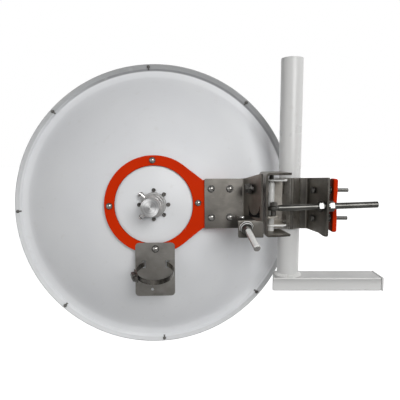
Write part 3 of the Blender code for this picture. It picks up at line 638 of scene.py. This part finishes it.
def lugs():
    left, right, near, back = -0.2735, -0.2295, -0.0815, -0.0216
    nose = arc(PIN_X, PIN_Y, 0.0115, 0.0115, pi, pi * 1.5, 8)
    outline = [(left, back)] + nose + [(right - 0.01, near), (right - 0.006, near + 0.0015),
                                       (right - 0.002, near + 0.0055), (right, near + 0.01), (right, back)]
    for name, low in (("lower", 0.14), ("upper", 0.2338)):
        plate = sheet(outline, [circle(PIN_X, PIN_Y, 0.0066, 32)], 0.004, 0.0005)
        # The lugs' cut edges are painted near-white zinc as a highlight
        piece(f"{name}_pin_lug", plate, "base", DARK_STEEL,
              moved(z=low + 0.002), f"{name}_lug", (ZINC_HIGHLIGHT,))


def hinge_pin():
    """The pin is rounded at its top, with a thinner tip above; above the dome it is painted black as shade."""
    low, shoulder, top = 0.1255, 0.2265, 0.2523
    dome = arc(0.0045, shoulder, 0.0023, 0.006, 0, pi / 2, 10)[:-1]
    profile = [(0, low), (0.006, low), (0.0065, low + 0.0005), (0.0068, low + 0.0012)] + dome + \
        [(0.0047, top - 0.0006), (0.0041, top), (0, top)]
    pin = turned(profile, 64, closed=False)
    # Above the dome the pin is painted black as shade
    mark(pin, lambda face: middle_of(face)[0].z > shoulder + 0.006)
    piece("hinge_pin", pin, "base", PIN_AND_HIGHLIGHT_ZINC, moved(PIN_X, PIN_Y), "pivot_pin", (BLACK,))


def pole_straps():
    reach = POLE_RADIUS + 0.0018
    line = rounded([(0.043, -0.0115), (reach, -0.0115), (reach, reach), (-reach, reach),
                    (-reach, -0.0115), (-0.043, -0.0115)],
                   (0, 0.004, reach - 0.0001, reach - 0.0001, 0.004, 0), closed=False, steps=10)
    long = length_of(line)
    for name, z in (("lower", 0.1525), ("upper", 0.2125)):
        outline = rounded(corners(0, z - 0.012, long, z + 0.012), 0.004)
        holes = [circle(0.0073, z, 0.0045), circle(long - 0.0073, z, 0.0045)]
        band = folded(sheet(outline, holes, 0.003), line)
        piece(f"{name}_pole_strap", band, "base", STRIP_AND_HIGHLIGHT_STEEL, POLE, f"{name}_strap")
        for side, x in (("left", POLE_X - 0.0357), ("right", POLE_X + 0.0357)):
            fastener = together(
                thread(0.004, 0, 0.0185, M8_PITCH), hexagon(M8_FLATS, 0.0087, 0.0138, 0.0036),
                disc(0.008, 0.0073, 0.0087, 0.0003, 0.0042))
            piece(f"{name}_{side}_clamp_stud", fastener, "base", BRIGHT,
                  aimed((x, -0.017, z), (0, 1, 0)), f"{name}_{side}_strap_stud")


def jaw():
    """An orange bar with a slight waist, drawn up by two long studs."""
    low, tall, waist_z = 0.1268, 0.1112, 0.1824
    bar = block((-0.133, -0.068, 0.1252), (-0.1214, -0.042, 0.238), 0.0042, 6)
    for i in range(1, 16):
        sliced(bar, (0, 0, low + tall * i / 16), (0, 0, 1))
    for vert in bar.verts:
        waist = max(0, 1 - (abs(vert.co.z - waist_z) / 0.036)**2)**2
        vert.co.x -= 0.0012 * waist * max(0, (vert.co.x + 0.13) / 0.0086)
    # Faces toward the left are painted darker orange as shade
    mark(bar, facing((-1, 0, 0), 0.6))
    piece("orange_jaw", bar, "base", ORANGE, WORLD, "jaw_bar", (SHADED_ORANGE,))

    def head_or_nut(face):
        at, out = middle_of(face)
        return at.z < 0.0005 or 0.035 < at.z < 0.042 and out > 0.0045

    for name, z in JAW_STUDS:
        stud = together(
            thread(0.004, 0.003, 0.078, M8_PITCH),
            (hexagon(M8_FLATS, -0.0055, 0), moved(z=0.0055) @ spun(180, "X") @ moved(z=0.0055)),
            hexagon(M8_FLATS, 0.0352, 0.0402, 0.0036, both=True),
            disc(0.0078, 0.0403, 0.0417, 0.0003, 0.0042))
        piece(f"{name}_draw_stud", mark(stud, head_or_nut), "base", ROD_STEEL,
              aimed((-0.175, -0.055, z), (1, 0, 0)), f"{name}_jaw_stud", (BLACK,))


# Azimuth head

def rod_at(x):
    return ROD_START.lerp(ROD_END, (x - ROD_START.x) / (ROD_END.x - ROD_START.x))


def azimuth_adjuster():
    way = (ROD_END - ROD_START).normalized()
    long = (ROD_END - ROD_START).length
    eye = turned([(0.0053, -0.0036), (0.0057, -0.004), (0.0098, -0.004), (0.0112, -0.003), (0.0115, 0),
                  (0.0112, 0.003), (0.0098, 0.004), (0.0057, 0.004), (0.0053, 0.0036)], 64)
    shank = disc(0.006, 0.009, 0.0905, 0.0006)
    screw = thread(0.0065, 0.09, long - 0.001, M12_PITCH)
    tip = disc(0.0049, long - 0.0011, long, 0.0005)
    along = aimed(ROD_START, way)
    rod = together((eye, moved(*ROD_START)), (shank, along), (screw, along), (tip, along))
    piece("adjuster_rod", rod, "azimuth_rod", ROD_STEEL, WORLD, "azimuth_rod")
    upward = radians(14)
    for name, at, parts in (
            ("inner", -0.1717, [hexagon(M12_FLATS, 0, 0.01, 0.0068, both=True)]),
            ("outer", -0.1526, [disc(0.012, 0, 0.0025, 0.0004, 0.0068),
                                hexagon(M12_FLATS, 0.0025, 0.0125, 0.0068, both=True)])):
        nut = together(*parts)
        bmesh.ops.transform(nut, verts=nut.verts, matrix=aimed(rod_at(at), way) @ spun(NUT_TURN))
        # The facet toward the upper front is painted white zinc as a highlight; the others stay dark
        mark(nut, facing((0, -cos(upward), sin(upward)), 0.95))
        piece(f"{name}_lock_nut", nut, "base", BOLT_STEEL, WORLD, f"{name}_azimuth_nut",
              (ZINC_HIGHLIGHT,))


def head_channel():
    tip, web, low, high = 0.032, -0.01925, 0.12725, 0.25055
    line = rounded([(tip, low), (web, low), (web, high), (tip, high)], (0, 0.00475, 0.00475, 0), closed=False)
    reach = length_of(line)
    outline = rounded([(0, -0.042), (0.0282, -0.0495), (reach - 0.0282, -0.0495), (reach, -0.042),
                       (reach - 0.007, 0.0186), (reach - 0.0091, 0.022), (0.0091, 0.022), (0.007, 0.0186)],
                      (0.003, 0.002, 0.002, 0.003, 0.001, 0.001, 0.001, 0.001))
    pivot = reach / 2 + TILT_Z - (low + high) / 2
    holes = [circle(x, y, 0.0066, 32) for x, y in ((0.032, 0), (reach - 0.032, 0), (pivot, TILT_Y))]
    plate = folded(sheet(outline, holes, 0.0045, 0.0005), line, UPRIGHT)
    piece("head_channel", plate, "azimuth_head", DARK_STEEL, AZIMUTH, "azimuth_channel",
          (EDGE_STEEL,))


def head_fasteners():
    at = AZIMUTH.inverted() @ Vector((ROD_START.x, ROD_START.y, 0))
    swivel = together(thread(0.005, 0.1603, 0.1765), disc(0.005, 0.1765, 0.1851, 0.0002),
                      hexagon(0.014, 0.1853, 0.1925), disc(0.0036, 0.1925, 0.1933, 0.0003))
    piece("eye_bolt_swivel", swivel, "azimuth_head", BOLT_STEEL, AZIMUTH @ moved(at.x, at.y),
          "rod_swivel")
    web, low = -0.0167, 0.1608
    outline = rounded(corners(web, at.y - 0.01, at.x + 0.01, at.y + 0.01), (0.0005, 0.006, 0.006, 0.0005))
    ear = sheet(outline, [circle(at.x, at.y, 0.0053)], 0.004)
    piece("swivel_lug", ear, "azimuth_head", DARK_STEEL, AZIMUTH @ moved(z=low + 0.002),
          "swivel_ear")
    bolt = together((hexagon(M12_FLATS, 0.0025, 0.0125), spun(30)), disc(0.0118, 0, 0.0025, 0.0004),
                    disc(0.0058, -0.02, 0, 0.0002), (thread(0.006, 0, 0.017, M12_PITCH), moved(z=-0.0368)))
    piece("tilt_bolt", bolt, "azimuth_head", BLACK,
          AZIMUTH @ aimed((-0.0453, TILT_Y, TILT_Z), (-1, 0, 0)), "elevation_bolt")
    piece("tilt_lock_nut", hexagon(M12_FLATS, 0, 0.0075, 0.006, both=True), "azimuth_head",
          STRIP_AND_HIGHLIGHT_STEEL, AZIMUTH @ aimed((web, TILT_Y, TILT_Z), (1, 0, 0)), "elevation_nut")
    piece("tilt_bush", disc(0.009, -0.0124, 0, 0.0005, 0.0063), "azimuth_head", BRIGHT,
          AZIMUTH @ aimed((-0.0218, TILT_Y, TILT_Z), (1, 0, 0)), "elevation_bush")


# Dish

def bowl_height(radius):
    """A parabola that steepens a little outside the ring."""
    return 0.1394 - radius**2 / 0.794 - 0.426 * max(0, radius - 0.11)**2


def bowl():
    """The pressed bowl flattens to a ledge, steps up to a flange that faces inward, and rolls forward."""
    radii = [0.014 + (0.275 - 0.014) * i / 36 for i in range(37)]
    back = [(radius, bowl_height(radius)) for radius in radii]
    rim = eased([(0.28, bowl_height(0.28)), (0.285, 0.0242), (0.29, 0.0199), (0.295, 0.0158),
                 (0.3, 0.0122), (0.303, 0.0102), (0.306, 0.009), (0.31, 0.008), (0.315, 0.0073),
                 (0.3192, 0.007), (0.3204, 0.0073), (0.324, 0.0116), (0.3249, 0.0121), (0.3262, 0.0127),
                 (0.3318, 0.0152)], 2)
    roll = arc(0.3324, 0.0127, 0.0028, 0.0028, pi / 2, 0, 8)
    wall = [(0.3352, -0.0108), (0.3349, -0.0117), (0.3341, -0.012), (0.3333, -0.0117), (0.333, -0.0108),
            (0.333, 0.012)]
    inner = [(max(0.014, radius - 0.0012 * radius / 0.285), height - 0.0025) for radius, height in back + rim]
    piece("bowl", turned(back + rim + roll + wall + inner[::-1], DISH_STEPS), "reflector",
          DISH_PAINT, DISH, "reflector")


def front_cover():
    edge, rise = 0.3329, 0.024
    radii = [edge * i / 80 for i in range(81)]
    outer = [(radius, -0.012 - rise * (1 - (radius / edge)**2) - 0.0016 * (0.292 < radius < 0.316))
             for radius in radii]
    inner = [(radius, height + 0.003) for radius, height in outer]
    shell = turned(outer + inner[::-1], DISH_STEPS, closed=False)
    piece("front_cover", shell, "reflector", COVER, DISH, "radome")


def round_the_rim(angle):
    """A place on the rim's flange: x outward, y along the rim, z out of it."""
    return spun(angle) @ moved(RIM_RADIUS, 0, RIM_Z) @ spun(-RIM_TILT, "Y")


def rim_clips():
    """Dark screws on the flange, each with the end of its clip behind it, over the step."""
    tabs, screws = [], []
    for i in range(8):
        at = round_the_rim(3 + 45 * i)
        line = rounded([(-0.0088, -0.003), (-0.005, 0.0003), (0.003, 0.0006)], 0.003, False, 3)
        long = length_of(line)
        outline = eased([(0, -0.0014), (0.002, -0.0028), (0.0045, -0.001), (long, -0.0036),
                         (long, 0.0036), (0.0045, 0.001), (0.002, 0.0028), (0, 0.0014)], 2)
        tabs.append((folded(sheet(outline, [], 0.001, 0.0002), line, UPRIGHT), at))
        head = turned([(0, 0.0008), (0.0038, 0.0008), (0.004, 0.0014), (0.0034, 0.003), (0.002, 0.0036),
                       (0.0016, 0.0022), (0, 0.0022)], 24, closed=False)
        screws.append((head, at))
    piece("rim_tabs", together(*tabs), "reflector", CLIP_STEEL, DISH)
    piece("rim_screws", together(*screws), "reflector", CLIP_STEEL, DISH)


def orange_ring():
    outer, start = 0.1052, radians(55)
    tab = rounded(corners(0.1045, -0.051, 0.178, 0.0522), (0, 0.004, 0.004, 0))
    outline = arc(0, 0, outer, outer, start, tau - start, 84) + tab
    plate = sheet(outline, [circle(0, 0, 0.0834, 120)], 0.0049, 0.0006)
    for vert in plate.verts:
        vert.co.z += (RING_LOW + RING_HIGH) / 2
        radius = hypot(vert.co.x, vert.co.y)
        if vert.co.z < 0.133 and 0.104 < radius < 0.1053:
            vert.co.z -= 0.004
    # The ring's cut edges are painted darker orange as shade
    piece("orange_ring", plate, "reflector", ORANGE, DISH, "mounting_ring", (SHADED_ORANGE,))


def dish_bolt(name, low, place, stands_for):
    """A small hexagon head with a slightly crowned top, its sides painted darker as shade."""
    head = mark(hexagon(0.0108, low + WASHER, low + 0.0043, dome=0.0017), lambda face: face.normal.z < 0.6)
    piece(name, head, "reflector", BOLT_HEAD, DISH @ place, stands_for, (BOLT_STEEL,))


def ring_bolts():
    ring = [(spun(90 * i + 1.7) @ Vector((RING_BOLTS, 0, 0))).to_2d() for i in (1, 2, 0, 3)]
    plate = [(x, y) for x in (0.1225, 0.162) for y in (-0.028, 0.033)]
    washers = []
    for kind, places, low, radius in (("ring", ring[:3], PLATE_Z, 0.0068), ("bracket", plate, 0.1404, 0.008)):
        for i, (x, y) in enumerate(places):
            washers.append((disc(radius, low, low + WASHER, 0.0003), moved(x, y)))
            turn = Matrix.Rotation(0.4 + 0.7 * i, 4, "Z")
            dish_bolt(f"{kind}_hexagon_{i + 1}", low, moved(x, y) @ turn, f"{kind}_bolt_{i + 1}")
    washers.append((disc(0.008, 0.1384, 0.1397, 0.0003), moved(*ring[3])))
    dish_bolt("plate_hexagon", 0.1384, moved(*ring[3]), "cable_plate_bolt")
    # The washers are black and wide enough to take in the dark ring round each head, partly painted shade
    piece("bolt_washers", together(*washers), "reflector", BLACK, DISH)


def dish_bracket():
    """Plate on the ring and a flange out to the head, with a lanced tongue in the flange."""
    line = rounded([(0.108, 0.1381), (0.1928, 0.1381), (0.2165, 0.2168)], 0.005, closed=False, steps=8)
    reach = length_of(line)
    fold = reach - 0.0822
    outline = rounded([(0, -0.0514), (fold, -0.0514), (reach, -0.0645), (reach, 0.0616), (fold, 0.0547),
                       (0, 0.0547)], (0.003, 0.004, 0.004, 0.003, 0.004, 0.003))
    middle, half, root, sill = fold + 0.0506, 0.0228, -0.0035, -0.0255
    left, right = middle - half, middle + half
    tongue = arc(middle, root, half, -0.0182, 0, pi, 20)
    window = tongue + rounded([(left - 0.0016, root), (left - 0.0016, sill), (right + 0.0016, sill),
                               (right + 0.0016, root)], (0, 0.002, 0.002, 0), steps=3)

    def finish_number(face):
        """The window's cut edges are painted black as shade, and the rest of the sheet is kept apart until it
        is bent.
        """
        spot = face.calc_center_median()
        inside = abs(spot.x - middle) < half + 0.003 and -0.032 < spot.y < root + 0.001
        return 3 if inside and face.material_index else face.material_index or 2

    holes = [window, circle(fold + 0.0445, 0.0329, 0.0067, 32)]
    def plain_plate(face):
        """Of the sheet itself, the plate has the piece's own finish, a darker copy of the steel as painted
        shade, and the flange keeps number 2.
        """
        return 0 if face.material_index == 2 and abs(face.normal.z) > 0.95 else face.material_index

    bent = mark(folded(mark(sheet(outline, holes, 0.004), finish_number), line, UPRIGHT), plain_plate)
    # A thin black sheet behind the window is painted shade, seen through the slots
    backing = sheet(rounded([(left - 0.005, root + 0.004), (left - 0.005, -0.03), (right + 0.005, -0.03),
                             (right + 0.005, root + 0.004)], 0.002, steps=3), [], 0.0006, 0.0001)
    bmesh.ops.translate(backing, vec=(0, 0, -0.0024), verts=backing.verts)
    mark(backing, lambda face: 3)
    piece("dish_bracket", together(bent, folded(backing, line, UPRIGHT)), "reflector",
          BRACKET_STEEL, DISH, "reflector_bracket", (EDGE_STEEL, DARK_STEEL, PAINTED_SHADE_BLACK))


def tilt_clip():
    line = rounded([(0.219, -0.064), (0.219, -0.029), (0.172, -0.0241)], 0.004, closed=False)
    reach = length_of(line)
    outline = rounded([(0, 0.168), (reach, 0.168), (reach, 0.1985), (0.0393, 0.2), (0.0325, 0.202),
                       (0.031, 0.218), (0, 0.218)], (0.003, 0.002, 0.001, 0.001, 0.001, 0.001, 0.001))
    hole = arc(0.0209, 0.1837, 0.0066, 0.0056, 0, tau, 24)[:-1]
    plate = folded(sheet(outline, [hole], 0.003, 0.0005), line, SIDEWAYS)
    piece("tilt_clip", plate, "reflector", CLIP_PLATE, DISH, "elevation_clip",
          (EDGE_STEEL,))
    cap = turned([(0, 0), (0.0052, 0), (0.0054, 0.0008), (0.0048, 0.0024), (0.003, 0.0034), (0, 0.0037)],
                 32, closed=False)
    piece("clip_rivet", cap, "reflector", BRIGHT,
          DISH @ aimed((0.179, -0.0258, 0.201), (0, 1, 0.1)))


def tilt_rod():
    through, way = Vector((0.1843, -0.0455, 0.224)), Vector((0.115, -0.432, 0.894)).normalized()
    along = DISH @ aimed(through, way)
    rod = together((thread(0.005, -0.0165, 0.0095), along),
                   (disc(0.0064, 0.0093, 0.0722, 0.0012), along))
    # Faces toward the upper front are painted white zinc as a highlight
    mark(rod, facing((-0.15, -0.5, 0.75), 0.62))
    piece("tilt_rod", rod, "reflector", BOLT_HEAD, WORLD, "elevation_rod", (ZINC_HIGHLIGHT,))
    nut = together(disc(0.014, -0.005, -0.0022, 0.0008, 0.0053), disc(0.0118, -0.002, 0.0006, 0.0008, 0.0053),
                   hexagon(0.0175, 0.0008, 0.0095, 0.0053))

    # The washers' rims on one side are painted brighter zinc as a highlight
    def washer_rim(face):
        at, out = middle_of(face)
        return at.z < 0.0007 and out > 0.0109 and at.y > -0.004

    piece("tilt_rod_nut", mark(nut, washer_rim), "reflector", ROD_STEEL, along,
          "elevation_rod_nut", (PIN_AND_HIGHLIGHT_ZINC,))


def hub():
    """The turned hub in steps, with grooves on its end face, leaning a little to the picture's lower left."""
    profile = [(0.0262, HUB_LOW), (0.0265, 0.1396), (0.0265, 0.1478), (0.0257, 0.1488),
               (0.024, 0.149), (0.0236, 0.1496), (0.0236, 0.1645), (0.023, 0.1655), (0.0216, 0.1658),
               (0.0212, 0.1664), (0.0212, 0.1835), (0.0206, 0.1845), (0.0194, 0.1848), (0.019, 0.1854),
               (0.019, 0.204), (0.0182, HUB_TOP)]
    grooves = [(radius, HUB_TOP - drop) for radius, drop in
               ((0.0168, 0), (0.0166, 0.0005), (0.0134, 0.0005), (0.0132, 0.001), (0.01, 0.001),
                (0.0098, 0.0015), (0.0066, 0.0015), (0.0064, 0.002), (0.0032, 0.002), (0.003, 0.0012),
                (0, 0.001))]
    shape = turned([(0, HUB_LOW)] + profile + grooves, 128, closed=False)
    layer = shape.loops.layers.uv.new("lathe")
    for face in shape.faces:
        at, _ = middle_of(face)
        heading = atan2(at.y, at.x)
        for loop in face.loops:
            spot = loop.vert.co
            radius = hypot(spot.x, spot.y)
            way = atan2(spot.y, spot.x) if radius > 0.00001 else heading
            way += tau * round((heading - way) / tau)
            loop[layer].uv = (way / tau, (radius + spot.z) * 4)
    mark(shape, lambda face: face.normal.z < 0.5 or face.calc_center_median().z < 0.2)
    for vert in shape.verts:
        lean = (vert.co.z - HUB_LOW) * HUB_LEAN
        vert.co.x -= lean
        vert.co.y -= lean
    piece("turned_hub", shape, "reflector", ALUMINIUM, DISH, "feed_hub",
          (ALUMINIUM_SIDE,))
    screws = []
    for angle in (0, 45, 90, 180, 270, 315):
        head = turned([(0, 0.1384), (0.0038, 0.1384), (0.0042, 0.1388), (0.0042, 0.1425), (0.0036, 0.1432),
                       (0.0021, 0.1432), (0.002, 0.1405), (0, 0.1405)], 30, closed=False)
        screws.append((head, spun(angle) @ moved(0.0308)))
    piece("hub_screws", together(*screws), "reflector", BOLT_STEEL, DISH)
    latches = []
    for angle, thick, z, far in ((141, 0.0053, 0.149, 0.0385), (225, 0.0046, 0.145, 0.0415)):
        outward = spun(angle) @ aimed((0, 0, z), (1, 0, 0))
        collar = disc(thick + 0.0008, far - 0.0045, far - 0.003, 0.0004, 0.0016, steps=24)
        seat = block((0.0262, -0.0052, 0.1383), (0.0285, 0.0052, z), 0.0004, 1)
        latches += [(disc(thick, 0.022, far, 0.001, 0.0016, steps=24), outward),
                    (mark(collar, lambda face: 1), outward), (mark(seat, lambda face: 1), spun(angle))]
    piece("hub_latches", together(*latches), "reflector", BRIGHT, DISH, "", (ROD_STEEL,))


# Cable plate with its band

BAND_RADIUS, BAND_LEG, BAND_FOOT = 0.0385, 0.024, -0.005
SLOT_X = 0.0245
BAND_CENTRE = sqrt(0.039**2 - SLOT_X**2)
BAND_X, BAND_Y, BAND_TILT = 0.003, -0.127, 90 + 22


def band_line():
    """Round the cable from one slot to the other, in the band's own plane."""
    start = -acos(BAND_LEG / BAND_RADIUS)
    loop = arc(0, BAND_CENTRE, BAND_RADIUS, BAND_RADIUS, start, pi - start, 48)
    return [(BAND_LEG, BAND_FOOT)] + loop + [(-BAND_LEG, BAND_FOOT)]


def cable_holder():
    slots = [corners(x - 0.0035, BAND_Y - 0.008, x + 0.0035, BAND_Y + 0.008)
             for x in (BAND_X - SLOT_X, BAND_X + SLOT_X)]
    holes = [rounded(slot, 0.0015, steps=3) for slot in slots] + [circle(-0.004, -0.1805, 0.003)]
    plate = sheet(rounded(corners(-0.04, -0.1945, 0.044, -0.0811), 0.008), holes, 0.002, 0.0004)
    piece("cable_sheet", plate, "reflector", SHEET_STEEL, DISH @ moved(z=PLATE_Z + 0.001),
          "cable_plate", (EDGE_STEEL,))
    loop = DISH @ moved(BAND_X, BAND_Y, PLATE_Z + 0.001) @ spun(BAND_TILT, "X")
    line = band_line()
    reach = length_of(line)
    notches = [[(u - 0.0005, -0.0028), (u + 0.0007, -0.0028), (u + 0.0013, 0.0028), (u + 0.0001, 0.0028)]
               for u in (reach * 0.54 + i * 0.0033 for i in range(24))]
    outline = rounded(corners(0, -0.0056, reach, 0.0056), 0.0008, steps=2)
    band = folded(sheet(outline, notches, 0.001, 0.0002), line)
    piece("cable_strap", band, "reflector", BAND_STEEL, loop, "cable_band", (BLACK,))
    at = moved(0, BAND_CENTRE) @ spun(160) @ moved(0.0433)
    along = aimed((0.0008, 0, 0), (0, -1, 0))
    screw = together(
        block((-0.0036, -0.0085, -0.0078), (-0.001, 0.0085, 0.0078), 0.0005, 2),
        block((-0.0012, -0.0066, -0.0058), (0.005, 0.006, 0.0058), 0.0014, 3),
        (disc(0.0046, -0.0065, 0.0062, 0.0008), along), (thread(0.0036, 0.0055, 0.007, 0.0012), along),
        (hexagon(0.008, 0.0066, 0.0105), along), (disc(0.003, -0.0092, -0.006, 0.0005), along))
    piece("worm_screw", screw, "reflector", BOLT_STEEL, loop @ at @ Matrix.Scale(1.25, 4),
          "band_screw")


# Studio

FLOOR_Z = -0.75
CAMERA_AT, CAMERA_PITCH, CAMERA_LENS = (-0.4104, -0.9421, 0.2894), 83.77, 37.8


def studio():
    shape = bmesh.new()
    bmesh.ops.create_grid(shape, x_segments=1, y_segments=1, size=30)
    bmesh.ops.translate(shape, vec=(0, 0, FLOOR_Z), verts=shape.verts)
    mesh = bpy.data.meshes.new("studio_floor")
    shape.to_mesh(mesh)
    shape.free()
    ground = Finish("floor_paper", 0.9)
    ground.wear(ground.blend(ground.noise(2, 2), (0.43, 0.43, 0.43), (0.45, 0.45, 0.45)))
    # Painted light: the floor glows, none nearer than y 0.3 and full beyond y 0.7, behind the object
    painted_glow = ground.between(ground.coordinate("Y"), 0, 1)
    ground.links.new(painted_glow, ground.shader.inputs["Emission Strength"])
    ground.shader.inputs["Emission Color"].default_value = (1, 1, 1, 1)
    mesh.materials.append(ground.material)
    added("studio_floor", mesh)
    world = bpy.data.worlds.new("studio_sky")
    bpy.context.scene.world = world
    world.use_nodes = True
    nodes, links = world.node_tree.nodes, world.node_tree.links
    way = nodes.new("ShaderNodeTexCoord").outputs["Generated"]
    toward = nodes.new("ShaderNodeVectorMath")
    toward.operation = "DOT_PRODUCT"
    toward.inputs[1].default_value = (0.5, 0.83, -0.35)
    links.new(way, toward.inputs[0])
    sky = grey_ramp(world.node_tree, toward.outputs["Value"], (0.02, 0.16), (0.34, 1))
    links.new(sky, nodes["Background"].inputs["Color"])
    nodes["Background"].inputs["Strength"].default_value = 1
    lamp("key_softbox", (0.55, -2.5, 1.35), (-0.45, 0, 0.15), 1.5, 50)
    lamp("left_fill", (-1.9, -1.7, 0.6), (-0.4, 0, 0.15), 1.6, 9)
    lamp("right_strip", (1.7, -0.6, 0.35), (-0.2, 0, 0.2), 0.7, 2.6)
    bpy.context.scene.view_settings.view_transform = "Standard"


def lamp(name, at, towards, size, power):
    light = bpy.data.lights.new(name, "AREA")
    light.shape = "SQUARE"
    light.size = size
    light.energy = power
    added(name, light).matrix_world = aimed(at, Vector(towards) - Vector(at), "-Z")


def camera():
    lens = bpy.data.cameras.new("photo_camera")
    lens.sensor_width = 36
    lens.lens = CAMERA_LENS
    made = added("photo_camera", lens)
    made.location = CAMERA_AT
    made.rotation_euler = (radians(CAMERA_PITCH), 0, 0)
    bpy.context.scene.camera = made


for build in (camera, stand, trough_bracket, lugs, hinge_pin, pole_straps, jaw, azimuth_adjuster,
              head_channel, head_fasteners, bowl, front_cover, rim_clips, orange_ring, ring_bolts,
              dish_bracket, tilt_clip, tilt_rod, hub, cable_holder, studio):
    build()
